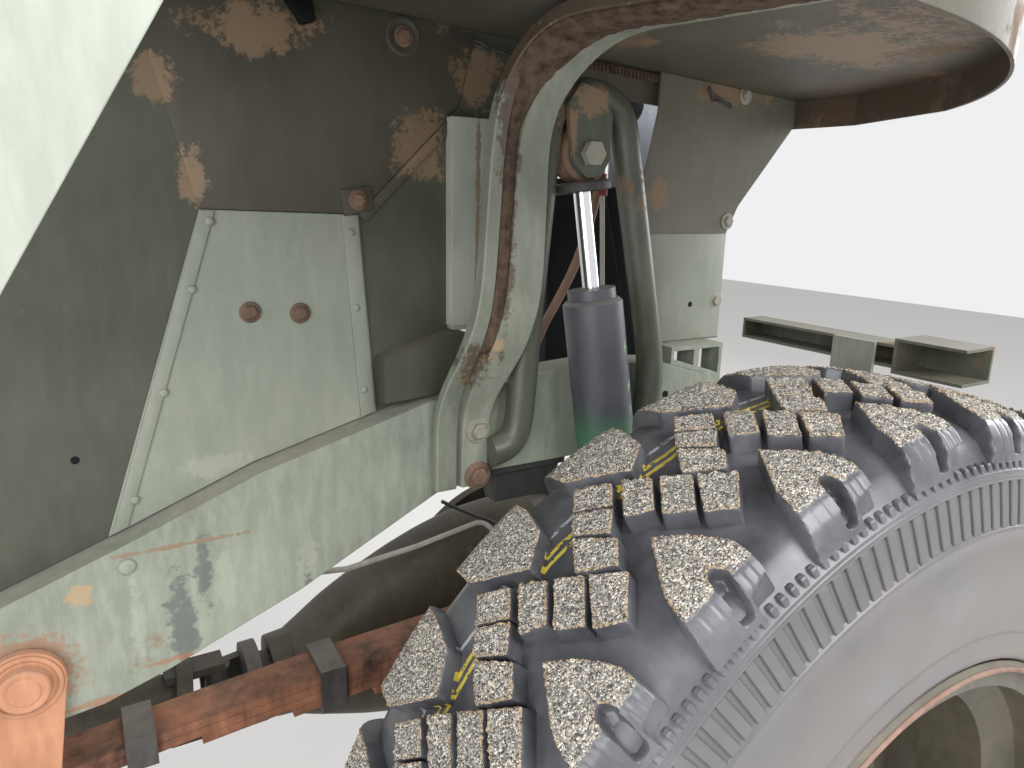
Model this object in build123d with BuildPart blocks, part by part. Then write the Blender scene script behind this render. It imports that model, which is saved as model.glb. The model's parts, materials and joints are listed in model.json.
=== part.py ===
from build123d import *
import math
import os

os.makedirs("parts", exist_ok=True)

# Millimetres. The origin is the middle of the rail's rear mounting face.
# +X runs forward, +Y inboard and +Z up. Every place below is measured from the wheel's centre.
wheel_x = 640
wheel_y = -307.5
wheel_z = -151

# Tyre and rim
tyre_radius = 404
groove_radius = 388
tread_half_width = 83
section_half_width = 116
lug_count = 27
bead_radius = 203.2
flange_radius = 221
flange_half_width = 102
well_radius = 174
rim_wall = 4

# Wheel fixing and brake
disc_thickness = 6
disc_back = 4
stud_circle = 82.5
stud_count = 5
stud_radius = 7
drum_radius = 125
drum_depth = 58
hub_flange_radius = 94
spigot_radius = 46
spindle_radius = 22
running_gap = 0.05

# Steering
king_pin_y = 125
king_pin_tilt = 6
ball_radius = 70
housing_inside = 75
housing_radius = 88
king_pin_radius = 14

# Frame rail
rail_outer = 285
rail_inner = 330
rail_wall = 4
rail_end = -632
plate_thickness = 8

# Leaf spring and axle
leaf_count = 6
leaf_thickness = 8
leaf_gap = 0.4
leaf_outer = 285
leaf_inner = 330
spring_top = 95
spring_radius = 5400
eye_x = 560
tube_radius = 38
bell_radius = 135
flange_y = 500
flange_thickness = 14
case_flange_radius = 152

# Wing
wing_under = 668
sheet = 3
wing_fall = 0.056
lip_depth = 32
arch_y = 315

axle_line = Axis((wheel_x, wheel_y, wheel_z), (0, 1, 0))


def side(y):
    """Fore and aft plane at y. Sketch x is forward, sketch y is up, extrusion goes outboard."""
    return Plane(origin=(wheel_x, wheel_y + y, wheel_z), x_dir=(1, 0, 0), z_dir=(0, -1, 0))


def level(z):
    """Flat plane at height z. Sketch x is forward, sketch y is inboard, extrusion goes up."""
    return Plane(origin=(wheel_x, wheel_y, wheel_z + z), x_dir=(1, 0, 0), z_dir=(0, 0, 1))


def across(x):
    """Cross plane at x. Sketch x is inboard, sketch y is up, extrusion goes forward."""
    return Plane(origin=(wheel_x + x, wheel_y, wheel_z), x_dir=(0, 1, 0), z_dir=(1, 0, 0))


def point(x, y, z):
    return Vector(wheel_x + x, wheel_y + y, wheel_z + z)


def outline_on(plane, outline):
    """A closed outline of straight lines as a face on the plane."""
    with BuildSketch(plane) as drawn:
        with BuildLine():
            Polyline(*outline, close=True)
        make_face()
    return drawn.sketch


def panel(plane, outline, thickness, mode=Mode.ADD):
    extrude(outline_on(plane, outline), amount=thickness, mode=mode)


def turned(outline, axis=axle_line, mode=Mode.ADD):
    """A ring about the axle. The outline's columns are inboard distance and radius."""
    revolve(outline_on(across(0), outline), axis=axis, mode=mode)


def rod(start, end, radius, mode=Mode.ADD):
    direction = end - start
    with BuildSketch(Plane(origin=start, z_dir=direction)) as section:
        Circle(radius)
    extrude(section.sketch, amount=direction.length, mode=mode)


def save(built, name):
    built.part.label = name
    export_step(built.part, f"parts/{name}.step")


# Tyre: a hollow carcass, with one pitch of tread repeated round it
carcass_outer = [
    (101.7, 203.5), (101.7, 216.8), (112, 250), (section_half_width, 292), (110, 335), (99.5, 362),
    (80, 385), (0, groove_radius + 1),
]
carcass_inner = [(0, 374), (80, 366), (103, 292), (82, 203.5)]
lug_top = tyre_radius - 1
tread_section = [
    (-101, 360), (-98, 384), (-tread_half_width, 398), (0, lug_top), (tread_half_width, 398), (98, 384),
    (101, 360), (90, 360), (74, 377), (-74, 377), (-90, 360),
]
lug_outlines = [
    [(0, -35), (14, -52), (26, -73), (27, -104), (-34, -104), (-25, -70)],
    [(24, 19), (70, -41), (47, -63), (1, -9)],
    [(96, 44), (114, 23), (70.6, -32.8), (48.6, -9.8)],
    [(35, 20), (59, 38), (66, 70), (66, 104), (3, 104), (3, 60)],
]
lug_foot = 350
pitch_angle = 360 / lug_count
tread_phase = -5.6

with BuildPart() as tyre:
    turned([(-y, r) for y, r in carcass_outer] + carcass_outer[-2::-1] + carcass_inner[::-1]
           + [(-y, r) for y, r in carcass_inner[1:]])
    for outline in lug_outlines:
        middle = sum(x for x, y in outline) / len(outline)
        with BuildPart(mode=Mode.PRIVATE) as lug:
            panel(level(lug_foot), [(x - middle, y) for x, y in outline], tyre_radius - lug_foot + 10)
            panel(across(-60), tread_section, 120, mode=Mode.INTERSECT)
        first_angle = tread_phase + math.degrees(middle / tyre_radius)
        add([lug.part.rotate(axle_line, first_angle + turn * pitch_angle) for turn in range(lug_count)])
save(tyre, "tyre")

# Wheel rim: flanges, bead seats and drop well. The disc that takes the studs is welded in it.
lip = flange_half_width + 12
lip_crest = flange_half_width + 7
rim_inside = flange_half_width + rim_wall
seat_radius = bead_radius - rim_wall
rim_outer = [
    (-lip, flange_radius - 5), (-lip_crest, flange_radius), (-flange_half_width, flange_radius - 4),
    (-flange_half_width, bead_radius), (-78, bead_radius), (-64, well_radius + rim_wall),
    (60, well_radius + rim_wall), (78, bead_radius), (flange_half_width, bead_radius),
    (flange_half_width, flange_radius - 4), (lip_crest, flange_radius), (lip, flange_radius - 5),
]
rim_inner = [
    (rim_inside, flange_radius - 7), (rim_inside, seat_radius), (80, seat_radius), (62, well_radius),
    (-66, well_radius), (-80, seat_radius), (-rim_inside, seat_radius), (-rim_inside, flange_radius - 7),
]
disc_front = disc_back - disc_thickness
disc_section = [
    (disc_front, spigot_radius + 1), (disc_back, spigot_radius + 1), (disc_back, 112), (26, 130),
    (26, well_radius), (20, well_radius), (20, 134), (disc_front, 116),
]
vent_count = 4
vent_circle = 153
vent_radius = 11

with BuildPart() as wheel_rim:
    turned(rim_outer + rim_inner)
save(wheel_rim, "wheel_rim")

with BuildPart() as wheel_disc:
    turned(disc_section)
    with BuildSketch(side(40)):
        with PolarLocations(vent_circle, vent_count, start_angle=45):
            Circle(vent_radius)
    extrude(amount=30, mode=Mode.SUBTRACT)
    with BuildSketch(side(40)):
        with PolarLocations(stud_circle, stud_count, start_angle=90):
            Circle(stud_radius + 0.5)
    extrude(amount=90, mode=Mode.SUBTRACT)
save(wheel_disc, "wheel_disc")

flange_front = disc_back + 7
flange_back = flange_front + 11
with BuildPart() as brake_drum:
    turned([(disc_back, spigot_radius + 1), (disc_back, 108), (20, drum_radius - 1),
            (drum_depth, drum_radius),
            (drum_depth, drum_radius - 8), (28, drum_radius - 8), (flange_front, 98),
            (flange_front, spigot_radius + 1)])
    with BuildSketch(side(40)):
        with PolarLocations(stud_circle, stud_count, start_angle=90):
            Circle(stud_radius + 0.5)
    extrude(amount=90, mode=Mode.SUBTRACT)
save(brake_drum, "brake_drum")

bore_radius = spindle_radius + running_gap
cap_seat = -44
with BuildPart() as hub:
    turned([(cap_seat, bore_radius), (cap_seat, spigot_radius), (flange_front, spigot_radius),
            (flange_front, hub_flange_radius), (flange_back, hub_flange_radius), (50, 48), (50, bore_radius)])
    with BuildSketch(side(40)):
        with PolarLocations(stud_circle, stud_count, start_angle=90):
            Circle(stud_radius)
    extrude(amount=40, mode=Mode.SUBTRACT)
save(hub, "hub")

nut_depth = 16
with BuildPart() as wheel_nuts:
    with BuildSketch(side(flange_back)):
        with PolarLocations(stud_circle, stud_count, start_angle=90):
            Circle(stud_radius)
    extrude(amount=flange_back - disc_front + nut_depth + 4)
    with BuildSketch(side(disc_front)):
        with PolarLocations(stud_circle, stud_count, start_angle=90):
            RegularPolygon(12.5, 6)
    extrude(amount=nut_depth)
save(wheel_nuts, "wheel_nuts")

with BuildPart() as hub_cap:
    turned([(cap_seat, 0), (cap_seat, 43), (-50, 42), (-70, 36), (-79, 25), (-81, 0)])
save(hub_cap, "hub_cap")

# Steering knuckle: housing round the ball, two king pins, brake backplate, spindle and arm
tilt = math.radians(king_pin_tilt)
king_pin_up = Vector(0, math.sin(tilt), math.cos(tilt))
ball_centre = point(0, king_pin_y, 0)
backplate_y = 67
housing_lip = 152


def ball_rings(radius, first, last, step):
    """Points round the ball's centre as inboard distance and radius, at angles measured from straight out."""
    angles = [math.radians(angle) for angle in range(first, last + 1, step)]
    return [(king_pin_y + radius * math.sin(angle), radius * math.cos(angle)) for angle in angles]


housing_cavity = ball_rings(housing_inside, -46, 22, 17)
with BuildPart() as swivel_housing:
    turned([(backplate_y, 31), (backplate_y, 68), (king_pin_y - 44, housing_radius - 10),
            (king_pin_y, housing_radius), (housing_lip, housing_radius - 4), *housing_cavity[::-1]])
    for way in (1, -1):
        rod(ball_centre + king_pin_up * 40 * way, ball_centre + king_pin_up * 104 * way, 26)
    turned([(housing_cavity[0][0], 0), *housing_cavity, (housing_lip + 20, housing_cavity[-1][1]),
            (housing_lip + 20, 0)], mode=Mode.SUBTRACT)
    rod(ball_centre - king_pin_up * 110, ball_centre + king_pin_up * 110, king_pin_radius, mode=Mode.SUBTRACT)
save(swivel_housing, "swivel_housing")

with BuildPart() as king_pins:
    for way in (1, -1):
        rod(ball_centre + king_pin_up * 46 * way, ball_centre + king_pin_up * 104 * way, king_pin_radius)
        rod(ball_centre + king_pin_up * 104 * way, ball_centre + king_pin_up * 110 * way, 24)
save(king_pins, "king_pins")

with BuildPart() as brake_backplate:
    turned([(64, 30), (64, 112), (60, 131), (63, 132), (backplate_y, 113), (backplate_y, 30)])
save(brake_backplate, "brake_backplate")

with BuildPart() as stub_axle:
    turned([(-40, 0), (-40, spindle_radius), (57, spindle_radius), (57, 48), (64, 48), (64, 29.7),
            (67, 29.7), (67, 0)])
save(stub_axle, "stub_axle")

# Steering arm: bolted under the housing, with the track rod eye ahead of the axle
arm_thickness = 16
arm_eye = (150, -28)
eye_hole = 9
with BuildPart() as steering_arm:
    with BuildSketch(Plane(origin=ball_centre - king_pin_up * 110, x_dir=(1, 0, 0), z_dir=-king_pin_up)):
        with BuildLine():
            Polyline((-30, 30), (-30, -26), (30, -30), (arm_eye[0], arm_eye[1] - 19),
                     (arm_eye[0], arm_eye[1] + 19),
                     (36, 30), close=True)
        make_face()
        with Locations(arm_eye):
            Circle(19)
            Circle(eye_hole, mode=Mode.SUBTRACT)
    extrude(amount=arm_thickness)
save(steering_arm, "steering_arm")

# Axle half: the ball, the tube, the cone to the split flange and the long pinion nose
tube_end = 204
diff_y = 452
nose_end = 338
pinion_tilt = math.radians(2)
pinion_axis = Axis(point(0, diff_y, 0), (-math.cos(pinion_tilt), 0, -math.sin(pinion_tilt)))
ball_outline = ball_rings(ball_radius, -20, 50, 10)
with BuildPart() as axle_ball:
    turned([(ball_outline[0][0], 0), *ball_outline, (192, 44), (192, 62), (tube_end, 62), (tube_end, 0)])
    rod(ball_centre - king_pin_up * 90, ball_centre - king_pin_up * 44, king_pin_radius + running_gap,
        mode=Mode.SUBTRACT)
    rod(ball_centre + king_pin_up * 44, ball_centre + king_pin_up * 90, king_pin_radius + running_gap,
        mode=Mode.SUBTRACT)
save(axle_ball, "axle_ball")

shock_eye_y = 230
shock_eye_x = -4
shock_eye_z = 79
nose_outline = [(20, 0), (20, 92), (118, 84), (165, 60), (nose_end, 46), (nose_end, 0)]


def along_pinion(distance):
    return pinion_axis.position + pinion_axis.direction * distance


def beside_pinion(y):
    """Fore and aft plane at y. Sketch x runs back along the pinion and extrusion goes inboard."""
    return Plane(origin=point(0, y, 0), x_dir=pinion_axis.direction, z_dir=(0, 1, 0))


with BuildPart() as pinion_nose:
    revolve(outline_on(beside_pinion(diff_y), nose_outline), axis=pinion_axis)
    panel(level(-160), [(-260, flange_y + 6), (60, flange_y + 6), (60, 640), (-260, 640)], 320,
          mode=Mode.SUBTRACT)

with BuildPart() as axle_case:
    turned([(tube_end, 0), (tube_end, 62), (tube_end + 10, 62), (tube_end + 12, tube_radius),
            (358, tube_radius),
            (380, 56), (414, 116), (436, bell_radius), (flange_y, bell_radius),
            (flange_y, case_flange_radius),
            (flange_y + flange_thickness, case_flange_radius), (flange_y + flange_thickness, 0)])
    add(pinion_nose.part)
    for ear_y in (shock_eye_y - 14, shock_eye_y + 20):
        panel(side(ear_y), [(-28, 20), (-16, 82), (-4, 96), (14, 96), (26, 82), (34, 20)], 6)
    rod(point(shock_eye_x, 200, shock_eye_z), point(shock_eye_x, 300, shock_eye_z), 7.05, mode=Mode.SUBTRACT)
    with BuildSketch(side(flange_y + flange_thickness)):
        with PolarLocations(144, 10, start_angle=18):
            Circle(4.5)
    extrude(amount=flange_thickness, mode=Mode.SUBTRACT)
save(axle_case, "axle_case")

# Pinion flange, universal joint and the prop shaft to its slip sleeve
shaft_tilt = math.radians(10)
joint_reach = 394
shaft_line = Vector(-math.cos(shaft_tilt), 0, math.sin(shaft_tilt))
joint_centre = along_pinion(joint_reach)

yoke_face = nose_end + 20
with BuildPart() as pinion_flange:
    rod(along_pinion(nose_end), along_pinion(yoke_face), 30)
    rod(along_pinion(yoke_face - 8), along_pinion(yoke_face), 46)
save(pinion_flange, "pinion_flange")

with BuildPart() as universal_joint:
    rod(along_pinion(yoke_face), along_pinion(yoke_face + 8), 46)
    for way in (1, -1):
        panel(beside_pinion(diff_y + 32 * way - 6), [(yoke_face + 4, -20), (joint_reach + 16, -15),
                                                     (joint_reach + 16, 15), (yoke_face + 4, 20)], 12)
    rod(joint_centre - Vector(0, 40, 0), joint_centre + Vector(0, 40, 0), 13)
    rod(joint_centre - Vector(0, 0, 33), joint_centre + Vector(0, 0, 33), 13)
save(universal_joint, "universal_joint")

shaft_end = 240
with BuildPart() as prop_shaft:
    rod(joint_centre + shaft_line * 42, joint_centre + shaft_line * 170, 26)
    rod(joint_centre + shaft_line * 170, joint_centre + shaft_line * shaft_end, 20)
    rod(joint_centre + shaft_line * 180, joint_centre + shaft_line * 192, 27)
    for way in (1, -1):
        fork_face = Plane(origin=joint_centre + Vector(0, 0, 33.4 * way), x_dir=(1, 0, 0), z_dir=(0, 0, way))
        with BuildSketch(fork_face) as fork:
            with Locations((-24, 0)):
                Rectangle(60, 30)
        extrude(fork.sketch, amount=9)
    rod(joint_centre + shaft_line * 34, joint_centre + shaft_line * 50, 42)
    rod(joint_centre + shaft_line * (shaft_end - 60), joint_centre + shaft_line * shaft_end, 13,
        mode=Mode.SUBTRACT)
save(prop_shaft, "prop_shaft")

# Frame rail: a box section kicked up over the axle, with a mounting plate at each end
shackle_top = (-551, 158)
shackle_head = 28
shackle_pin = 10.5
rail_outline = [
    (rail_end, 105), (-500, 120), (-447, 137), (-338, 180), (-199, 250), (-150, 262), (60, 262), (140, 242),
    (200, 215), (450, 215), (450, 300), (214, 300), (137, 336), (76, 354), (-12, 360), (-99, 355),
    (-206, 342),
    (-367, 297), (-470, 256), (-559, 223), (rail_end, 197),
]
with BuildPart() as chassis_rail:
    panel(side(rail_inner), rail_outline, rail_inner - rail_outer)
    with BuildSketch(side(rail_inner - rail_wall)) as hollow:
        add(outline_on(Plane.XY, rail_outline))
        offset(amount=-rail_wall)
    extrude(hollow.sketch, amount=rail_inner - rail_outer - 2 * rail_wall, mode=Mode.SUBTRACT)
    for end_x, low, high in ((rail_end - rail_wall, 112, 188), (450 - rail_wall, 220, 295)):
        panel(across(end_x), [(rail_outer + rail_wall, low), (rail_inner - rail_wall, low),
                              (rail_inner - rail_wall, high), (rail_outer + rail_wall, high)], 2 * rail_wall,
              mode=Mode.SUBTRACT)
    bush_ends = [point(shackle_top[0], y, shackle_top[1]) for y in (rail_outer, rail_inner)]
    rod(*bush_ends, 18)
    rod(*bush_ends, shackle_pin, mode=Mode.SUBTRACT)
save(chassis_rail, "chassis_rail")

bolt_hole = 5.5
with BuildPart() as rail_end_plate:
    with BuildSketch(across(rail_end - plate_thickness)):
        with Locations(((rail_outer + rail_inner) / 2, -wheel_z)):
            Rectangle(75, 124)
            with GridLocations(57, 106, 2, 2):
                Circle(bolt_hole, mode=Mode.SUBTRACT)
    extrude(amount=plate_thickness)
save(rail_end_plate, "rail_end_plate")

with BuildPart() as bumper_bracket:
    panel(across(450), [(rail_outer - 10, 205), (rail_inner + 10, 205), (rail_inner + 10, 350),
                        (rail_outer - 10, 350)], 6)
save(bumper_bracket, "bumper_bracket")

# Bumper: a channel bar with a deeper channel welded on its end
bumper_back = 456
bumper_wall = 4
bumper_parts = [(500, 318, 350, flange_y + flange_thickness, 250), (520, 311, 359, 250, 155)]
with BuildPart() as bumper:
    for front, low, high, inner_y, outer_y in bumper_parts:
        panel(side(inner_y), [(bumper_back, low), (front, low), (front, high), (bumper_back, high)],
              inner_y - outer_y)
        panel(side(inner_y - bumper_wall), [
            (bumper_back, low + bumper_wall), (front - bumper_wall, low + bumper_wall),
            (front - bumper_wall, high - bumper_wall), (bumper_back, high - bumper_wall),
        ], inner_y - outer_y - bumper_wall, mode=Mode.SUBTRACT)
save(bumper, "bumper")

# Leaf spring: nearly flat leaves about one distant centre, eyes rolled on the longest leaf
leaf_centre_z = spring_top - spring_radius
leaf_reach = [eye_x, 520, 430, 350, 270, 190]


def leaf_outline(reach, top_radius):
    low_radius = top_radius - leaf_thickness
    top_drop = math.sqrt(top_radius**2 - reach**2)
    low_drop = math.sqrt(low_radius**2 - reach**2)
    with BuildSketch(side(leaf_inner)) as drawn:
        with BuildLine():
            ThreePointArc((-reach, leaf_centre_z + top_drop), (0, leaf_centre_z + top_radius),
                          (reach, leaf_centre_z + top_drop))
            Line((reach, leaf_centre_z + top_drop), (reach, leaf_centre_z + low_drop))
            ThreePointArc((reach, leaf_centre_z + low_drop), (0, leaf_centre_z + low_radius),
                          (-reach, leaf_centre_z + low_drop))
            Line((-reach, leaf_centre_z + low_drop), (-reach, leaf_centre_z + top_drop))
        make_face()
    return drawn.sketch


eye_outside = 20
eye_inside = 11
eye_z = leaf_centre_z + math.sqrt(spring_radius**2 - eye_x**2) - eye_outside
with BuildPart() as leaf_spring:
    for number, reach in enumerate(leaf_reach):
        extrude(leaf_outline(reach, spring_radius - number * (leaf_thickness + leaf_gap)),
                amount=leaf_inner - leaf_outer)
    for way in (1, -1):
        with BuildSketch(side(leaf_inner)) as eye:
            with Locations((eye_x * way, eye_z)):
                Circle(eye_outside)
        extrude(eye.sketch, amount=leaf_inner - leaf_outer)
    for way in (1, -1):
        with BuildSketch(side(leaf_inner)) as eye:
            with Locations((eye_x * way, eye_z)):
                Circle(eye_inside)
        extrude(eye.sketch, amount=leaf_inner - leaf_outer, mode=Mode.SUBTRACT)
save(leaf_spring, "leaf_spring")

# What holds the spring: shackle behind, hanger ahead, clips, saddle, plate and U bolts
eye_pin = eye_inside
shackle_plate_thickness = 7
shackle_faces = (leaf_outer - 1, leaf_inner + 1 + shackle_plate_thickness)
with BuildPart() as shackle_plates:
    for face_y in shackle_faces:
        with BuildSketch(side(face_y)) as plate:
            with BuildLine():
                Polyline((shackle_top[0] - shackle_head, shackle_top[1]),
                         (shackle_top[0] + shackle_head, shackle_top[1]),
                         (20 - eye_x, eye_z), (-20 - eye_x, eye_z), close=True)
            make_face()
            with Locations(shackle_top):
                Circle(shackle_head)
            with Locations((-eye_x, eye_z)):
                Circle(20)
            with Locations(shackle_top):
                Circle(shackle_pin, mode=Mode.SUBTRACT)
            with Locations((-eye_x, eye_z)):
                Circle(eye_pin, mode=Mode.SUBTRACT)
        extrude(plate.sketch, amount=shackle_plate_thickness)
save(shackle_plates, "shackle_plates")

pin_reach = (leaf_outer - 1 - shackle_plate_thickness, leaf_inner + 1 + shackle_plate_thickness)
head_height = 9
with BuildPart() as shackle_bolts:
    for (bolt_x, bolt_z), radius in ((shackle_top, shackle_pin), ((-eye_x, eye_z), eye_pin),
                                     ((eye_x, eye_z), eye_pin)):
        rod(point(bolt_x, pin_reach[0], bolt_z), point(bolt_x, pin_reach[1], bolt_z), radius)
        for start, way in ((pin_reach[0], -1), (pin_reach[1], 1)):
            head_face = Plane(origin=point(bolt_x, start, bolt_z), x_dir=(1, 0, 0), z_dir=(0, way, 0))
            with BuildSketch(head_face) as head:
                RegularPolygon(17, 6)
            extrude(head.sketch, amount=head_height)
save(shackle_bolts, "shackle_bolts")

with BuildPart() as front_hanger:
    for face_y in shackle_faces:
        panel(side(face_y), [(450, 214.8), (450, 190), (eye_x + 22, eye_z + 16), (eye_x + 22, eye_z - 20),
                             (eye_x - 22, eye_z - 20), (370, 190), (370, 214.8)], shackle_plate_thickness)
    for bolt_y in shackle_faces:
        rod(point(eye_x, bolt_y + 1, eye_z), point(eye_x, bolt_y - 9, eye_z), eye_pin, mode=Mode.SUBTRACT)
    panel(across(370), [(leaf_outer - 1, 206), (leaf_inner + 1, 206), (leaf_inner + 1, 214.8),
                        (leaf_outer - 1, 214.8)], 80)
save(front_hanger, "front_hanger")

clip_places = [(-312, 4), (310, 4), (-478, 2)]
clip_width = 24
clip_wall = 4
with BuildPart() as spring_clips:
    for clip_x, held in clip_places:
        top = leaf_centre_z + math.sqrt(spring_radius**2 - clip_x**2) + 1.5
        low = top - 3 - held * (leaf_thickness + leaf_gap)
        with BuildSketch(across(clip_x - clip_width / 2)) as band:
            with Locations(((leaf_outer + leaf_inner) / 2, (top + low) / 2)):
                Rectangle(leaf_inner - leaf_outer + 1 + 2 * clip_wall, top - low + 2 * clip_wall)
                Rectangle(leaf_inner - leaf_outer + 1, top - low, mode=Mode.SUBTRACT)
        extrude(band.sketch, amount=clip_width)
save(spring_clips, "spring_clips")

stack_bottom = spring_top - leaf_count * leaf_thickness - (leaf_count - 1) * leaf_gap
plate_top = -tube_radius
bolt_x = 50
bolt_radius = 6
bolt_rows = (leaf_outer - 8, leaf_inner + 8)
with BuildPart() as spring_seat:
    panel(side(leaf_inner), [(-44, 22), (44, 22), (44, stack_bottom - 0.3), (-44, stack_bottom - 0.3)],
          leaf_inner - leaf_outer)
    rod(point(0, leaf_outer - 5, 0), point(0, leaf_inner + 5, 0), tube_radius + 0.2, mode=Mode.SUBTRACT)
save(spring_seat, "spring_seat")

with BuildPart() as spring_plate:
    with BuildSketch(level(plate_top - 12)) as plate:
        with Locations((0, (leaf_outer + leaf_inner) / 2)):
            RectangleRounded(136, 92, 10)
        for row in bolt_rows:
            with Locations((-bolt_x, row), (bolt_x, row)):
                Circle(bolt_radius, mode=Mode.SUBTRACT)
    extrude(plate.sketch, amount=11.8)
save(spring_plate, "spring_plate")

with BuildPart() as u_bolts:
    for place in (-bolt_x, bolt_x):
        with BuildLine() as bow:
            Polyline(point(place, bolt_rows[0], plate_top - 26), point(place, bolt_rows[0], spring_top + 2),
                     point(place, bolt_rows[0] + 6, spring_top + 8),
                     point(place, bolt_rows[1] - 6, spring_top + 8),
                     point(place, bolt_rows[1], spring_top + 2), point(place, bolt_rows[1], plate_top - 26))
        with BuildSketch(Plane(origin=point(place, bolt_rows[0], plate_top - 26),
                               z_dir=(0, 0, 1))) as section:
            Circle(bolt_radius)
        sweep(section.sketch, path=bow.line, transition=Transition.RIGHT)
    for place in (-bolt_x, bolt_x):
        for row in bolt_rows:
            with BuildSketch(level(plate_top - 22)) as nut:
                with Locations((place, row)):
                    RegularPolygon(11, 6)
            extrude(nut.sketch, amount=10)
save(u_bolts, "u_bolts")

with BuildPart() as bump_stop:
    for half_length, half_width, amount, taper in ((48, 21, 6.8, 0), (43, 18, -35, 12)):
        with BuildSketch(level(255)) as outline:
            with Locations((-95, 308)):
                Rectangle(2 * half_length, 2 * half_width)
            chamfer(outline.vertices(), 5)
        extrude(outline.sketch, amount=amount, taper=taper)
save(bump_stop, "bump_stop")

# Pressed bracket: a sheet with a gutter down its middle. It is bolted on the rail, steps out and forward,
# rises beside the wing and bends out under it. Columns: x of its rear edge, y and z of its face,
# lean from upright, width, depth, and where the gutter starts and ends across the width.
bracket_sheet = 3
gutter_slope = 1
bracket_sections = [
    (-207, 275, 253, 0, 56, 10, 22, 27),
    (-207, 275, 335, 0, 56, 10, 22, 27),
    (-203, 264, 358, 0, 64, 10, 20, 28),
    (-197, 249, 382, 0, 67, 10, 18, 30),
    (-186, 242, 408, 0, 63, 14, 15, 28),
    (-180, 238, 440, 0, 64, 14, 14, 27),
    (-171, 236, 595, 0, 56, 14, 13, 26),
    (-161, 228, 634, 30, 66, 12, 13, 38),
    (-153, 207, 656, 60, 72, 9, 12, 46),
    (-149, 175, 664, 90, 70, 12, 10, 48),
    (-125, 108, 662.6, 90, 64, 12, 10, 46),
    (-84, -40, 660.3, 90, 60, 12, 10, 44),
]


def bracket_section(x, y, z, lean, width, depth, gutter_start, gutter_end):
    turn = math.radians(lean)
    fall = wing_fall * math.sin(turn)
    plane = Plane(origin=point(x, y, z), x_dir=(1, 0, -fall), z_dir=(0, -math.sin(turn), math.cos(turn)))
    floor = depth - bracket_sheet
    inside = bracket_sheet - gutter_slope
    return outline_on(plane, [
        (0, depth), (0, 0), (gutter_start, 0), (gutter_start + gutter_slope, floor),
        (gutter_end - gutter_slope, floor),
        (gutter_end, 0), (width, 0), (width, depth), (width - bracket_sheet, depth),
        (width - bracket_sheet, bracket_sheet),
        (gutter_end + inside, bracket_sheet), (gutter_end + inside - gutter_slope, depth),
        (gutter_start - inside + gutter_slope, depth), (gutter_start - inside, bracket_sheet),
        (bracket_sheet, bracket_sheet), (bracket_sheet, depth),
    ])


with BuildPart() as arch_bracket:
    loft([bracket_section(*row) for row in bracket_sections], ruled=True)
save(arch_bracket, "arch_bracket")

# Shock absorber in its tubular hoop
hoop_radius = 14.5
hoop_y = rail_outer - hoop_radius - 0.1
shock_top = (-60, hoop_y, 571)
top_point = point(*shock_top)
low_point = point(shock_eye_x, shock_eye_y, shock_eye_z)
shock_direction = (low_point - top_point).normalized()
shock_length = (low_point - top_point).length


def along(distance):
    return top_point + shock_direction * distance


hoop_route = [(-139, 281), (-121, 306), (-117, 380), (-93, 626), (-14, 626), (34, 415), (52, 330), (40, 290)]
hoop_bends = [20, 150, 38, 38, 90, 24]
with BuildPart() as shock_hoop:
    with BuildLine() as bow:
        FilletPolyline(*[point(x, hoop_y, z) for x, z in hoop_route], radius=hoop_bends)
    with BuildSketch(Plane(origin=bow.line @ 0, z_dir=bow.line % 0)) as section:
        Circle(hoop_radius)
    sweep(section.sketch, path=bow.line)
save(shock_hoop, "shock_hoop")

ear_thickness = 6
gusset_faces = (hoop_y - hoop_radius - 0.1, hoop_y + hoop_radius + 0.1 + ear_thickness)
ear_outline = [(-64, 549), (-79, 562), (-84, 590), (-87, 614), (-74, 632), (-50, 627), (-37, 606),
               (-38, 566), (-48, 550)]
with BuildPart() as shock_gusset:
    for face_y in gusset_faces:
        with BuildSketch(side(face_y)) as plate:
            with BuildLine():
                Polyline(*ear_outline, close=True)
            make_face()
            with Locations((shock_top[0], shock_top[2])):
                Circle(7, mode=Mode.SUBTRACT)
        extrude(plate.sketch, amount=ear_thickness)
save(shock_gusset, "shock_gusset")

with BuildPart() as shock_bolts:
    rod(point(shock_top[0], gusset_faces[0] - 6, shock_top[2]),
        point(shock_top[0], gusset_faces[1], shock_top[2]), 7)
    low_ends = (point(shock_eye_x, shock_eye_y - 20, shock_eye_z),
                point(shock_eye_x, shock_eye_y + 20, shock_eye_z))
    rod(low_ends[0], low_ends[1], 7)
    for centre, way in ((point(shock_top[0], gusset_faces[0] - 6, shock_top[2]), -1),
                        (point(shock_top[0], gusset_faces[1], shock_top[2]), 1), (low_ends[0], -1),
                        (low_ends[1], 1)):
        with BuildSketch(Plane(origin=centre, x_dir=(1, 0, 0), z_dir=(0, way, 0))) as head:
            RegularPolygon(12, 6)
        extrude(head.sketch, amount=8)
save(shock_bolts, "shock_bolts")

rod_radius = 8.5
bush_radius = 21
bush_half = 14
shock_radius = 30
body_start = 128
body_end = shock_length - 34
with BuildPart() as shock_rod:
    rod(top_point - Vector(0, bush_half, 0), top_point + Vector(0, bush_half, 0), bush_radius)
    rod(along(12), along(body_start - 0.2), rod_radius)
    rod(along(bush_radius + 5), along(bush_radius + 10), 24)
    rod(top_point - Vector(0, bush_half, 0), top_point + Vector(0, bush_half, 0), 7, mode=Mode.SUBTRACT)
save(shock_rod, "shock_rod")

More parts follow.
